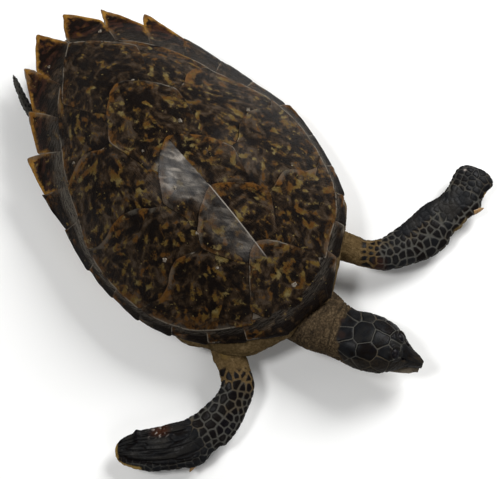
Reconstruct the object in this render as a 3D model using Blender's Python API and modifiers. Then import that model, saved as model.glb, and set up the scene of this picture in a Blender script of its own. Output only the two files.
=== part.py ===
"""A mounted sea turtle, dried whole: a toothed, overlapping-scuted shell with its head and flippers.

Metres, +Z up. The turtle looks along -Y, its left side is +X, and it lies on the flat middle of
its plastron at z = 0. The shell is lofted ring by ring round one centre; the head, the limbs and
the tail are coarse cages smoothed by subdivision.
"""

import math

import bmesh
import bpy
import numpy as np
from mathutils import Vector

# Driving dimensions. The carapace is 0.45 m long in a straight line.
SHELL_LENGTH = 0.45
SHELL_FRONT_Y = -0.215
CENTRE_Y = -0.0125
PEAK_HEIGHT = 0.147
SHELL_THICKNESS = 0.006
RIM_THICKNESS = 0.0045
MARGINAL_WEDGE = 0.003
SCUTE_STEP = 0.0018
KEEL_HEIGHT = 0.003
KEEL_WIDTH = 0.011
GAP = 0.0004

# Where the seam between one marginal scute and the next meets the edge, from beside the nuchal
# scute to the supracaudal, with +X outward on both sides. The specimen isn't quite even.
EDGE_SEAMS = {
    "left": [
        (0.030, -0.224), (0.069, -0.194), (0.101, -0.171), (0.125, -0.143), (0.138, -0.107),
        (0.1475, -0.064), (0.1490, -0.012), (0.138, 0.033), (0.125, 0.076), (0.109, 0.123),
        (0.083, 0.168), (0.049, 0.204),
    ],
    "right": [
        (0.030, -0.224), (0.072, -0.199), (0.107, -0.172), (0.132, -0.137), (0.148, -0.099),
        (0.153, -0.059), (0.154, -0.016), (0.142, 0.036), (0.135, 0.084), (0.110, 0.127),
        (0.083, 0.168), (0.049, 0.204),
    ],
}
NUCHAL_FRONT_Y = -0.222
NUCHAL_CORNER = (0.016, -0.223)
NUCHAL_CORNER_ANGLE = 175.0
SUPRACAUDAL_TIP = (0.020, 0.2445)
REAR_NOTCH_Y = 0.211
# The rear of the even outline that the rings follow runs this far behind the notch.
REAR_ROUNDING = 0.006
# How far each marginal's tooth stands out past its seam, outward and rearward. The front ones
# are only nubs. The ninth is worn down on the left and the tenth on the right.
TEETH = {
    "left": {
        4: (0.0015, 0.001), 5: (0.001, 0.001), 6: (0.0045, -0.006), 8: (0.001, 0.002),
        9: (0.001, 0.004), 10: (0.011, 0.013), 11: (0.009, 0.0155),
    },
    "right": {
        7: (0.003, 0.003), 8: (0.004, 0.004), 9: (0.015, 0.005), 10: (0.005, 0.005),
        11: (0.009, 0.0155),
    },
}
COLUMNS_PER_SCUTE = 4
EDGE_BOW = 0.002
# The edge's rounding: how far it sits below the arch, and how the under side draws in and up.
EDGE_DROP = 0.0008
UNDER_EDGE_INWARD = 0.994
UNDER_EDGE_RISE = 0.0015

# The arch's shape: its power at front and rear, at the sides, and how the rim flares outward.
ARCH_POWER = 2.2
ARCH_POWER_CHANGE = -0.1
FLARE_FRONT = 0.003
FLARE_REAR = 0.009
FLARE_SHARES = (0.78, 1.06)
TOOTH_DROOP = 0.45
RIM_HEIGHT = 0.0535
RIM_SIDE_DROP = 0.0075
RIM_FRONT_RISE = 0.0015

# The keel's scutes end at these shares of the shell's length, and the flank's at these.
VERTEBRAL_ENDS = [0.192, 0.357, 0.520, 0.724, 0.935]
COSTAL_ENDS = [0.258, 0.415, 0.608, 0.90]
# Half width of the row of keel scutes: wide at each scute's corners, narrow where it passes
# under the one in front.
KEEL_ROW = [
    (0.0, 0.055), (0.078, 0.051), (0.155, 0.022), (0.262, 0.050), (0.305, 0.038), (0.41, 0.051),
    (0.462, 0.034), (0.617, 0.050), (0.667, 0.033), (0.80, 0.056), (0.93, 0.030),
]
# A keel scute's rear edge is a blunt point, further forward by its distance from the keel and by
# this times that distance squared. A flank scute's rear edge bulges rearward over this stretch.
KEEL_POINT_CURVE = 22.0
FLANK_BULGE = 0.03
FLANK_BULGE_FROM = 0.045
FLANK_BULGE_WIDTH = 0.06
# The scutes inside the marginals lie in this share of the shell's width and of its length.
MARGINAL_SHARE = 0.90
SCUTES_FROM = 0.03
SCUTES_TO = 0.93

TOP_RINGS = [0.16, 0.31, 0.45, 0.57, 0.68, 0.77, 0.85, 0.92, 0.965]
UNDER_RINGS = [0.93, 0.80, 0.64, 0.44, 0.22]
PLASTRON_RINGS = [0.45, 0.75, 0.93]
PLASTRON_THICKNESS = 0.006
# The plastron's outline as radii round the shell's centre, by angle from the rear, in degrees.
PLASTRON_OUTLINE = [
    (0, 0.160), (18, 0.143), (35, 0.118), (52, 0.118), (68, 0.138), (90, 0.145), (108, 0.138),
    (122, 0.122), (140, 0.128), (158, 0.146), (180, 0.153),
]
BRIDGE_MIDDLE = 88.0
BRIDGE_HALF_ANGLE = 40.0
BRIDGE_FULL_SHARE = 0.35
BRIDGE_FOOT_SHARE = 0.30
BRIDGE_GAP = 0.0009
LOBE_HEIGHT = 0.003
# The skin between the two halves of the shell reaches this share of the way to the edge, and
# further in front, past the first of these angles and fully by the second.
SKIN_SHARE = 0.84
SKIN_BETWEEN = 0.55
SKIN_BEHIND_BRIDGE = 0.003
SKIN_FRONT_EXTRA = 0.10
SKIN_FRONT_BULGE = 0.99
SKIN_FRONT_ANGLES = (118.0, 140.0)
# On the right a web of skin stands out between the neck and the flipper.
SKIN_WEB_ANGLE = -157.0
SKIN_WEB_HALF_ANGLE = 15.0
SKIN_WEB_REACH = 0.06

SHELL_COLOUR = (0.045, 0.022, 0.010)
PLASTRON_COLOUR = (0.42, 0.30, 0.14)
SKIN_COLOUR = (0.20, 0.14, 0.075)
SCALE_COLOUR = (0.022, 0.020, 0.021)
JAW_COLOUR = (0.34, 0.27, 0.17)
EYE_COLOUR = (0.006, 0.005, 0.006)


def clear_scene():
    for obj in list(bpy.data.objects):
        bpy.data.objects.remove(obj)


def collection_named(name):
    found = bpy.data.collections.new(name)
    bpy.context.scene.collection.children.link(found)
    return found


def material_named(name, colour, roughness):
    material = bpy.data.materials.new(name)
    material.use_nodes = True
    shader = material.node_tree.nodes["Principled BSDF"]
    shader.inputs["Base Color"].default_value = (*colour, 1.0)
    shader.inputs["Roughness"].default_value = roughness
    shader.inputs["Metallic"].default_value = 0.0
    return material


def smooth_step(value, low, high):
    share = min(max((value - low) / (high - low), 0.0), 1.0)
    return share * share * (3.0 - 2.0 * share)


def add_mesh(name, mesh, collection, material=None):
    obj = bpy.data.objects.new(name, mesh)
    collection.objects.link(obj)
    if material:
        mesh.materials.append(material)
    mesh.shade_smooth()
    return obj


def ring_loft(name, rings, first_pole, last_pole, in_triangles=True):
    """A closed skin over rings of equal length, shut by a fan at each end."""
    build = bmesh.new()
    rows = [[build.verts.new(point) for point in ring] for ring in rings]
    start = build.verts.new(first_pole)
    end = build.verts.new(last_pole)
    count = len(rings[0])
    for i in range(count):
        following = (i + 1) % count
        build.faces.new((start, rows[0][i], rows[0][following]))
        build.faces.new((end, rows[-1][following], rows[-1][i]))
        for inner, outer in zip(rows, rows[1:]):
            if in_triangles:
                build.faces.new((inner[i], outer[i], outer[following]))
                build.faces.new((inner[i], outer[following], inner[following]))
            else:
                build.faces.new((inner[i], outer[i], outer[following], inner[following]))
    bmesh.ops.recalc_face_normals(build, faces=build.faces)
    mesh = bpy.data.meshes.new(name)
    build.to_mesh(mesh)
    build.free()
    return mesh


# The shell's outline, read as a radius at an angle. Angles run from the rear (+Y) round to the
# front, in degrees, and are positive on the turtle's left.

def polar(point):
    x, y = point[0], point[1] - CENTRE_Y
    return math.degrees(math.atan2(x, y)), math.hypot(x, y)


SEAM_POLAR = {side: [polar(point) for point in seams] for side, seams in EDGE_SEAMS.items()}
REAR_RADIUS = REAR_NOTCH_Y - CENTRE_Y + REAR_ROUNDING
FRONT_RADIUS = CENTRE_Y - NUCHAL_FRONT_Y
SMOOTHING_ANGLES = (-6.0, -3.0, 0.0, 3.0, 6.0)
SMOOTHING_WEIGHTS = (0.1, 0.2, 0.4, 0.2, 0.1)


def edge_radius(angle):
    """The shell's edge without its teeth: straight steps between seams, rounded by averaging."""
    seams = SEAM_POLAR["left" if angle >= 0 else "right"][::-1]
    angles = [0.0] + [seam[0] for seam in seams] + [180.0]
    radii = [REAR_RADIUS] + [seam[1] for seam in seams] + [FRONT_RADIUS]
    spread = [abs(abs(angle) + offset) for offset in SMOOTHING_ANGLES]
    folded = [360.0 - a if a > 180.0 else a for a in spread]
    return float(np.dot(np.interp(folded, angles, radii), SMOOTHING_WEIGHTS))


def on_ray(angle, radius):
    turn = math.radians(angle)
    return radius * math.sin(turn), CENTRE_Y + radius * math.cos(turn)


def rim_height(angle):
    """The edge is lowest at the sides, and a little higher in front than behind."""
    turn = math.radians(angle)
    return RIM_HEIGHT + RIM_SIDE_DROP * math.cos(2 * turn) - RIM_FRONT_RISE * math.cos(turn)


def dome_height(x, y):
    """The shell's smooth arch: the peak less a power of the share of the way out to the edge."""
    angle, radius = polar((x, y))
    share = radius / edge_radius(angle)
    turn = math.radians(angle)
    power = ARCH_POWER + ARCH_POWER_CHANGE * math.cos(2 * turn)
    rim = rim_height(angle)
    rearward = max(math.cos(turn), 0.0)
    flare = FLARE_FRONT + (FLARE_REAR - FLARE_FRONT) * rearward
    flare *= smooth_step(share, *FLARE_SHARES)
    arch = 1.0 - min(share, 1.0) ** power - TOOTH_DROOP * max(share - 1.0, 0.0)
    return rim + (PEAK_HEIGHT - rim) * arch + flare


def scute_relief(x, y):
    """Each scute thickens towards its rear edge, where it steps down onto the next."""
    across = abs(x)
    along = (y - SHELL_FRONT_Y) / SHELL_LENGTH
    angle, radius = polar((x, y))
    share = radius / edge_radius(angle)
    if share > MARGINAL_SHARE:
        return 0.0
    shares, widths = zip(*KEEL_ROW)
    if across < np.interp(along, shares, widths):
        ends = [end - across - KEEL_POINT_CURVE * across ** 2 for end in VERTEBRAL_ENDS[:-1]]
    else:
        over = min(max((across - FLANK_BULGE_FROM) / FLANK_BULGE_WIDTH, 0.0), 1.0)
        ends = [end + FLANK_BULGE * math.sin(math.pi * over) for end in COSTAL_ENDS[:-1]]
    ends = [SCUTES_FROM] + ends + [SCUTES_TO]
    for start, end in zip(ends, ends[1:]):
        if along < end:
            return SCUTE_STEP * (max(along - start, 0.0) / (end - start) - 0.4)
    return 0.0


def keel_relief(x, y):
    along = (y - SHELL_FRONT_Y) / SHELL_LENGTH
    grown = smooth_step(along, 0.12, 0.35) * (1.0 - smooth_step(along, 0.86, 0.95))
    return KEEL_HEIGHT * grown * math.exp(-((x / KEEL_WIDTH) ** 2))


def shell_top(x, y):
    return dome_height(x, y) + scute_relief(x, y) + keel_relief(x, y)


def shell_under(x, y):
    """The shell's inner side. The marginal scutes are wedges, thickest a little inside the edge."""
    angle, radius = polar((x, y))
    share = radius / edge_radius(angle)
    wedge = MARGINAL_WEDGE * smooth_step(share, 0.78, 0.90) * (1.0 - smooth_step(share, 0.93, 1.0))
    wall = SHELL_THICKNESS + (RIM_THICKNESS - SHELL_THICKNESS) * smooth_step(share, 0.85, 1.0)
    return dome_height(x, y) - wall - wedge


def side_columns(side):
    """(inner angle, edge point) of each column down one side, from the nuchal to the rear notch."""
    sign = 1.0 if side == "left" else -1.0
    seams, seam_angles = EDGE_SEAMS[side], [seam[0] for seam in SEAM_POLAR[side]]
    columns = []
    for index in range(1, len(seams)):
        start, end = seams[index - 1], seams[index]
        out, back = TEETH[side].get(index, (0.0, 0.0))
        tip = (end[0] + out, end[1] + back)
        for step in range(COLUMNS_PER_SCUTE):
            angle = seam_angles[index - 1]
            angle += (seam_angles[index] - angle) * step / COLUMNS_PER_SCUTE
            share = step / (COLUMNS_PER_SCUTE - 1 if out else COLUMNS_PER_SCUTE)
            x = start[0] + (tip[0] - start[0]) * share
            y = start[1] + (tip[1] - start[1]) * share
            grown = 1.0 + EDGE_BOW * math.sin(math.pi * share) / math.hypot(x, y - CENTRE_Y)
            columns.append((sign * angle, (sign * x * grown, CENTRE_Y + (y - CENTRE_Y) * grown)))
    for step in range(COLUMNS_PER_SCUTE):
        share = step / (COLUMNS_PER_SCUTE - 1)
        x = seams[-1][0] + (SUPRACAUDAL_TIP[0] - seams[-1][0]) * share
        y = seams[-1][1] + (SUPRACAUDAL_TIP[1] - seams[-1][1]) * share
        angle = seam_angles[-1] * (1.0 - step / COLUMNS_PER_SCUTE)
        columns.append((sign * angle, (sign * x, y)))
    return columns


def all_columns():
    """Columns right round the shell, starting at the nuchal's middle and going down its left."""
    corner_x, corner_y = NUCHAL_CORNER
    columns = [(180.0, (0.0, NUCHAL_FRONT_Y)), (NUCHAL_CORNER_ANGLE, (corner_x, corner_y))]
    columns += side_columns("left")
    columns.append((0.0, (0.0, REAR_NOTCH_Y)))
    columns += list(reversed(side_columns("right")))
    columns.append((-NUCHAL_CORNER_ANGLE, (-corner_x, corner_y)))
    return columns


COLUMNS = all_columns()
INNER_ANGLES = [angle for angle, _ in COLUMNS][::2]


def shell_ring(share, height):
    ring = []
    for angle, _ in COLUMNS:
        x, y = on_ray(angle, share * edge_radius(angle))
        ring.append((x, y, height(x, y)))
    return ring


def make_carapace(collection):
    top = [shell_ring(share, shell_top) for share in TOP_RINGS]
    edge = [(x, y, dome_height(x, y) - EDGE_DROP) for _, (x, y) in COLUMNS]
    under_edge = []
    for x, y, z in edge:
        drawn_in = CENTRE_Y + (y - CENTRE_Y) * UNDER_EDGE_INWARD
        low = z - RIM_THICKNESS + UNDER_EDGE_RISE
        under_edge.append((x * UNDER_EDGE_INWARD, drawn_in, low))
    under = [shell_ring(share, shell_under) for share in UNDER_RINGS]
    mesh = ring_loft(
        "carapace",
        top + [edge, under_edge] + under,
        (0.0, CENTRE_Y, shell_top(0.0, CENTRE_Y)),
        (0.0, CENTRE_Y, shell_under(0.0, CENTRE_Y)),
    )
    return add_mesh("carapace", mesh, collection, material_named("shell horn", SHELL_COLOUR, 0.4))


# The plastron is a shallow dish: flat in the middle, low at its two lobes, and turned up at the
# sides into the bridges, which meet the carapace's inner side.

def plastron_radius(angle):
    angles, radii = zip(*PLASTRON_OUTLINE)
    return float(np.interp(abs(angle), angles, radii))


def bridge_share(angle):
    aside = abs(abs(angle) - BRIDGE_MIDDLE) / BRIDGE_HALF_ANGLE
    return 1.0 - smooth_step(aside, BRIDGE_FULL_SHARE, 1.0)


def plastron_edge_height(angle):
    x, y = on_ray(angle, plastron_radius(angle))
    bridge = shell_under(x, y) - BRIDGE_GAP - PLASTRON_THICKNESS
    return LOBE_HEIGHT + (bridge - LOBE_HEIGHT) * bridge_share(angle)


def plastron_under(angle, share):
    """Height of the plastron's outer face at a share of the way out to its edge."""
    inner, outer = PLASTRON_RINGS[:2]
    edge = plastron_edge_height(angle)
    at_outer = BRIDGE_FOOT_SHARE * bridge_share(angle) * edge
    return float(np.interp(share, (0.0, inner, outer, 1.0), (0.0, 0.0, at_outer, edge)))


def plastron_ring(share, lift):
    ring = []
    for angle in INNER_ANGLES:
        x, y = on_ray(angle, share * plastron_radius(angle))
        ring.append((x, y, plastron_under(angle, share) + lift))
    return ring


def make_plastron(collection):
    outside = [plastron_ring(share, 0.0) for share in PLASTRON_RINGS + [1.0]]
    inside = [plastron_ring(share, PLASTRON_THICKNESS) for share in [1.0] + PLASTRON_RINGS[::-1]]
    mesh = ring_loft(
        "plastron", outside + inside, (0.0, CENTRE_Y, 0.0), (0.0, CENTRE_Y, PLASTRON_THICKNESS)
    )
    return add_mesh("plastron", mesh, collection, material_named("plastron horn", PLASTRON_COLOUR, 0.5))


# The trunk fills the space between the two halves of the shell, and its skin shows between them.

def frontward(angle):
    return smooth_step(abs(angle), *SKIN_FRONT_ANGLES)


def skin_bulge(angle):
    """How far out the skin bulges in front, as a share of the way to the edge."""
    aside = abs(angle - SKIN_WEB_ANGLE) / SKIN_WEB_HALF_ANGLE
    return SKIN_FRONT_BULGE + SKIN_WEB_REACH * (1.0 - smooth_step(aside, 0.0, 1.0))


def skin_reach(angle):
    """How far out the skin meets the carapace, as a radius: nearly to the edge in front."""
    open_radius = (SKIN_SHARE + SKIN_FRONT_EXTRA * frontward(angle)) * edge_radius(angle)
    bridge_radius = PLASTRON_RINGS[-1] * plastron_radius(angle) - SKIN_BEHIND_BRIDGE
    return open_radius + (bridge_radius - open_radius) * bridge_share(angle)


def make_trunk(collection):
    rings = []
    for share in UNDER_RINGS[::-1][:-1]:
        ring = []
        for angle in INNER_ANGLES:
            x, y = on_ray(angle, share * edge_radius(angle))
            ring.append((x, y, shell_under(x, y) - GAP))
        rings.append(ring)
    upper, middle, lower = [], [], []
    for angle in INNER_ANGLES:
        x, y = on_ray(angle, skin_reach(angle))
        high = shell_under(x, y) - 3 * GAP
        upper.append((x, y, high))
        foot = PLASTRON_RINGS[-1] * plastron_radius(angle)
        low = plastron_under(angle, PLASTRON_RINGS[-1]) + PLASTRON_THICKNESS + GAP
        between = foot + (skin_reach(angle) - foot) * SKIN_BETWEEN
        between += (skin_bulge(angle) * edge_radius(angle) - between) * frontward(angle)
        x, y = on_ray(angle, between)
        middle.append((x, y, 0.5 * (high + low)))
        x, y = on_ray(angle, foot)
        lower.append((x, y, low))
    rings += [upper, middle, lower]
    for share in PLASTRON_RINGS[:-1][::-1]:
        rings.append(plastron_ring(share, PLASTRON_THICKNESS + GAP))
    mesh = ring_loft(
        "trunk",
        rings,
        (0.0, CENTRE_Y, shell_under(0.0, CENTRE_Y) - GAP),
        (0.0, CENTRE_Y, PLASTRON_THICKNESS + GAP),
    )
    return add_mesh("trunk", mesh, collection, material_named("trunk skin", SKIN_COLOUR, 0.8))


# Head, limbs and tail are cages of ring sections. A section has a centre, a heading, a half
# width to each side of that heading, heights above and below the centre, and a roll.

DRAWN_IN_SHARE = 0.16

def section(centre, heading, half_width, above, below, roll=0.0, points=8):
    """An oval section square to the heading, as points counted from its left side.

    It is drawn larger by what the smoothing of its corners takes away."""
    forward = Vector(heading).normalized()
    level = Vector((0.0, 0.0, 1.0)).cross(forward).normalized()
    upright = forward.cross(level)
    turn = math.radians(roll)
    left = level * math.cos(turn) + upright * math.sin(turn)
    up = upright * math.cos(turn) - level * math.sin(turn)
    corner = 2 * math.pi / points
    larger = 1.0 / (0.75 + 0.25 * math.cos(corner))
    ring = []
    for i in range(points):
        across = larger * math.cos(corner * i)
        rise = larger * math.sin(corner * i)
        height = above if rise > 0 else below
        ring.append(Vector(centre) + left * (half_width * across) + up * (height * rise))
    return ring


def held_out(stations):
    """Stations moved outward from each bend by what smoothing the cage draws them in."""
    rows = np.array(stations, float)
    drawn = rows[2:] - 2 * rows[1:-1] + rows[:-2]
    rows[1:-1] -= DRAWN_IN_SHARE * drawn
    return rows.tolist()


def cage(name, sections, collection, material, levels=1):
    """A smoothed cage over ring sections, closed at both ends."""
    middles = [sum(ring, Vector()) / len(ring) for ring in (sections[0], sections[-1])]
    obj = add_mesh(name, ring_loft(name, sections, *middles, in_triangles=False), collection, material)
    smoothing = obj.modifiers.new("smoothing", "SUBSURF")
    smoothing.levels = levels
    smoothing.render_levels = levels
    return obj


def headings(points):
    """The direction at each point of a path, from its neighbours."""
    vectors = [Vector(point) for point in points]
    last = len(vectors) - 1
    return [vectors[min(i + 1, last)] - vectors[max(i - 1, 0)] for i in range(len(vectors))]


def boolean(obj, other, operation, name):
    cut = obj.modifiers.new(name, "BOOLEAN")
    cut.operation = operation
    cut.solver = "EXACT"
    cut.object = other
    return cut


def grown_copy(obj, cutters, distance):
    """A cutter the shape of obj, larger by distance all round."""
    graph = bpy.context.evaluated_depsgraph_get()
    mesh = bpy.data.meshes.new_from_object(obj.evaluated_get(graph))
    normals = [vertex.normal.copy() for vertex in mesh.vertices]
    for vertex, normal in zip(mesh.vertices, normals):
        vertex.co += normal * distance
    cutter = add_mesh(obj.name + "_cutter", mesh, cutters)
    return as_helper(cutter)


def as_helper(obj):
    obj.hide_render = True
    obj.display_type = "WIRE"
    return obj


HEAD_START = Vector((0.018, -0.262, 0.047))
HEAD_HEADING = Vector((0.469, -0.883, 0.0))
HEAD_LEFT = Vector((0.883, 0.469, 0.0))
# The head is tipped about its axis, its right side up, and the neck turns with it; in degrees.
HEAD_ROLL = 16.0
# Along the head from the back of the skull: half width, height above and depth below its axis.
SKULL = [
    (0.004, 0.0310, 0.0220, 0.0250), (0.022, 0.0335, 0.0265, 0.0250), (0.040, 0.0330, 0.0275, 0.0210),
    (0.055, 0.0288, 0.0255, 0.0155), (0.067, 0.0205, 0.0200, 0.0130), (0.079, 0.0110, 0.0130, 0.0120),
    (0.090, 0.0065, 0.0070, 0.0115), (0.0965, 0.0025, 0.0012, 0.0125),
]
# The neck from inside the trunk to the skull: x, y, z, half width, above, below.
NECK = [
    (0.000, -0.165, 0.031, 0.041, 0.016, 0.016), (0.002, -0.190, 0.033, 0.041, 0.0175, 0.018),
    (0.005, -0.215, 0.036, 0.0395, 0.0190, 0.0215), (0.010, -0.238, 0.041, 0.0365, 0.0200, 0.0235),
    (0.015, -0.253, 0.045, 0.0325, 0.0205, 0.0245),
]
JAW = [
    (0.040, 0.0235, 0.0040, 0.0080), (0.055, 0.0210, 0.0035, 0.0090), (0.070, 0.0170, 0.0030, 0.0090),
    (0.084, 0.0125, 0.0025, 0.0075), (0.0955, 0.0070, 0.0015, 0.0055),
]
JAW_DROP = 0.0120
EYE_RADIUS = 0.0070
EYE_ALONG = 0.0600
EYE_ACROSS = 0.0095
EYE_RISE = 0.0165
HEAD_POINTS = 10


def make_head(collection, cutters, material):
    turn = math.radians(HEAD_ROLL)
    upright = Vector((0.0, 0.0, 1.0))
    left = HEAD_LEFT * math.cos(turn) - upright * math.sin(turn)
    up = upright * math.cos(turn) + HEAD_LEFT * math.sin(turn)
    neck_path = [row[:3] for row in NECK] + [tuple(HEAD_START + HEAD_HEADING * SKULL[0][0])]
    sections = []
    for i, (row, heading) in enumerate(zip(held_out(NECK), headings(neck_path))):
        roll = -HEAD_ROLL * i / len(NECK)
        sections.append(section(row[:3], heading, *row[3:], roll=roll, points=HEAD_POINTS))
    for along, *sizes in SKULL:
        centre = HEAD_START + HEAD_HEADING * along
        sections.append(section(centre, HEAD_HEADING, *sizes, roll=-HEAD_ROLL, points=HEAD_POINTS))
    head = cage("head_and_neck", sections, collection, material)
    jaw_sections = []
    for along, *sizes in JAW:
        centre = HEAD_START + HEAD_HEADING * along - up * JAW_DROP
        jaw_sections.append(section(centre, HEAD_HEADING, *sizes, roll=-HEAD_ROLL))
    jaw_material = material_named("jaw horn", JAW_COLOUR, 0.5)
    jaw = cage("lower_jaw", jaw_sections, collection, jaw_material)
    bpy.context.view_layer.update()
    boolean(head, grown_copy(jaw, cutters, GAP), "DIFFERENCE", "room for the lower jaw")
    eye_material = material_named("eye", EYE_COLOUR, 0.1)
    for side, sign in (("left", 1.0), ("right", -1.0)):
        across = left * (sign * EYE_ACROSS)
        centre = HEAD_START + HEAD_HEADING * EYE_ALONG + across + up * EYE_RISE
        ball(side + "_eye", centre, EYE_RADIUS, collection, eye_material)
        socket = as_helper(ball(side + "_socket", centre, EYE_RADIUS + GAP, cutters))
        boolean(head, socket, "DIFFERENCE", side + " eye socket")
    return head


def ball(name, centre, radius, collection, material=None):
    build = bmesh.new()
    bmesh.ops.create_uvsphere(build, u_segments=10, v_segments=7, radius=radius)
    mesh = bpy.data.meshes.new(name)
    build.to_mesh(mesh)
    build.free()
    obj = add_mesh(name, mesh, collection, material)
    obj.location = centre
    return obj


# Front flippers, from inside the trunk to the tip: the middle of the blade, its half width, its
# half thickness and its roll, which drops the leading edge.
LEFT_FRONT = [
    (0.062, -0.140, 0.031, 0.022, 0.0115, 0), (0.077, -0.165, 0.033, 0.0205, 0.0115, 4),
    (0.091, -0.188, 0.034, 0.0170, 0.0110, 8), (0.102, -0.207, 0.034, 0.0155, 0.0105, 12),
    (0.119, -0.223, 0.033, 0.0190, 0.0100, 14), (0.143, -0.231, 0.031, 0.0230, 0.0095, 14),
    (0.168, -0.236, 0.029, 0.0260, 0.0085, 12), (0.195, -0.235, 0.027, 0.0265, 0.0080, 10),
    (0.221, -0.233, 0.025, 0.0210, 0.0070, 8), (0.244, -0.230, 0.023, 0.0240, 0.0060, 6),
    (0.262, -0.224, 0.022, 0.0235, 0.0055, 6), (0.276, -0.217, 0.021, 0.0165, 0.0040, 6),
]
RIGHT_FRONT = [
    (-0.062, -0.142, 0.031, 0.022, 0.0115, 0), (-0.079, -0.168, 0.033, 0.0205, 0.0115, 4),
    (-0.093, -0.191, 0.034, 0.0190, 0.0110, 8), (-0.101, -0.211, 0.034, 0.0175, 0.0105, 12),
    (-0.110, -0.227, 0.033, 0.0190, 0.0100, 14), (-0.125, -0.236, 0.031, 0.0190, 0.0095, 14),
    (-0.145, -0.242, 0.029, 0.0220, 0.0090, 12), (-0.169, -0.244, 0.027, 0.0245, 0.0085, 10),
    (-0.194, -0.239, 0.025, 0.0265, 0.0080, 8), (-0.216, -0.228, 0.023, 0.0270, 0.0070, 6),
    (-0.239, -0.211, 0.021, 0.0225, 0.0055, 6), (-0.262, -0.193, 0.019, 0.0120, 0.0040, 6),
]
# Hind flippers are tucked back under the shell, the right one with its blade on edge.
RIGHT_HIND = [
    (-0.066, 0.080, 0.032, 0.016, 0.0110, 0), (-0.078, 0.108, 0.032, 0.016, 0.0095, 30),
    (-0.082, 0.138, 0.031, 0.015, 0.0080, 55), (-0.0835, 0.165, 0.030, 0.012, 0.0065, 70),
    (-0.0825, 0.190, 0.030, 0.0090, 0.0055, 75), (-0.0765, 0.213, 0.030, 0.0065, 0.0045, 75),
    (-0.0690, 0.235, 0.031, 0.0035, 0.0030, 75),
]
LEFT_HIND = [
    (0.062, 0.080, 0.030, 0.016, 0.0110, 0), (0.074, 0.106, 0.029, 0.018, 0.0095, 12),
    (0.080, 0.130, 0.027, 0.021, 0.0080, 18), (0.080, 0.153, 0.025, 0.022, 0.0065, 20),
    (0.072, 0.175, 0.023, 0.019, 0.0055, 20), (0.062, 0.192, 0.022, 0.011, 0.0040, 20),
]
TAIL = [
    (0.000, 0.120, 0.026, 0.0160, 0.0120, 0), (0.000, 0.145, 0.026, 0.0135, 0.0110, 0),
    (0.000, 0.165, 0.025, 0.0105, 0.0090, 0), (0.001, 0.183, 0.024, 0.0070, 0.0065, 0),
    (0.001, 0.197, 0.023, 0.0035, 0.0035, 0),
]
# A claw on each front flipper's leading edge: its root and its tip.
LEFT_CLAW = ((0.2440, -0.2440, 0.022), (0.2460, -0.2575, 0.021))
RIGHT_CLAW = ((-0.2067, -0.2486, 0.022), (-0.2117, -0.2625, 0.020))
CLAW_ROOT_RADIUS = 0.0032
CLAW_TIP_RADIUS = 0.0005


def make_limb(name, stations, collection, material):
    """A flipper or tail through its stations. On the turtle's right the roll turns the other way."""
    paths = headings([row[:3] for row in stations])
    sections = []
    for (x, y, z, half_width, half_thickness, roll), heading in zip(held_out(stations), paths):
        turn = -roll if stations[-1][0] < 0 else roll
        sections.append(section((x, y, z), heading, half_width, half_thickness, half_thickness, turn))
    return cage(name, sections, collection, material)


def add_claw(limb, ends, cutters):
    root, tip = Vector(ends[0]), Vector(ends[1])
    build = bmesh.new()
    bmesh.ops.create_cone(
        build,
        cap_ends=True,
        segments=8,
        radius1=CLAW_ROOT_RADIUS,
        radius2=CLAW_TIP_RADIUS,
        depth=(tip - root).length,
    )
    mesh = bpy.data.meshes.new(limb.name + "_claw")
    build.to_mesh(mesh)
    build.free()
    horn = as_helper(add_mesh(limb.name + "_claw", mesh, cutters))
    horn.location = (root + tip) / 2
    horn.rotation_euler = (tip - root).to_track_quat("Z", "Y").to_euler()
    boolean(limb, horn, "UNION", "claw")


def main():
    clear_scene()
    turtle = collection_named("mounted sea turtle")
    cutters = collection_named("cutters")
    make_carapace(turtle)
    make_plastron(turtle)
    trunk = make_trunk(turtle)
    scaly = material_named("scaled skin", SCALE_COLOUR, 0.5)
    body = [make_head(turtle, cutters, scaly)]
    for name, stations, claw in (
        ("left_front_flipper", LEFT_FRONT, LEFT_CLAW),
        ("right_front_flipper", RIGHT_FRONT, RIGHT_CLAW),
        ("left_hind_flipper", LEFT_HIND, None),
        ("right_hind_flipper", RIGHT_HIND, None),
        ("tail", TAIL, None),
    ):
        limb = make_limb(name, stations, turtle, scaly)
        if claw:
            add_claw(limb, claw, cutters)
        body.append(limb)
    bpy.context.view_layer.update()
    trunk_cutter = grown_copy(trunk, cutters, GAP)
    for piece in body:
        boolean(piece, trunk_cutter, "DIFFERENCE", "room for the trunk")


main()
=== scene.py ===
import math
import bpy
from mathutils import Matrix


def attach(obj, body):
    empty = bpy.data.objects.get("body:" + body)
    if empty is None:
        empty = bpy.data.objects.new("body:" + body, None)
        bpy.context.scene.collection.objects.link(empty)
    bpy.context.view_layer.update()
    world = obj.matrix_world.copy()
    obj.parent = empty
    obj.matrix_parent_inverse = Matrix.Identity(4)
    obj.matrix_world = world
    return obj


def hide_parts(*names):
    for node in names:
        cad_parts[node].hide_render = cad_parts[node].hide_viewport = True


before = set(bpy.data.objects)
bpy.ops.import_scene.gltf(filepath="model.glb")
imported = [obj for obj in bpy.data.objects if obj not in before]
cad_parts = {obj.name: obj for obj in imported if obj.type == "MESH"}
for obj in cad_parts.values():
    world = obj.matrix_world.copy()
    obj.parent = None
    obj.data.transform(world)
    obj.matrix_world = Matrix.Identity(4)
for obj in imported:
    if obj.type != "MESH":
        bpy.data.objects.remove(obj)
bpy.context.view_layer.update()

from types import SimpleNamespace

import bpy
import numpy as np
from mathutils import Vector

# ----------------------------------------------
# Bone of the carapace. The real one is a dome of fused bone that the horn grows on. It shows
# only as dusty lines where scutes meet, and as the bare ceiling seen from below.

SHELL_LENGTH = 0.45
SHELL_FRONT_Y = -0.215
SHELL_CENTRE_Y = -0.0125
PEAK_HEIGHT = 0.147
RIM_HEIGHT = 0.0535
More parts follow.
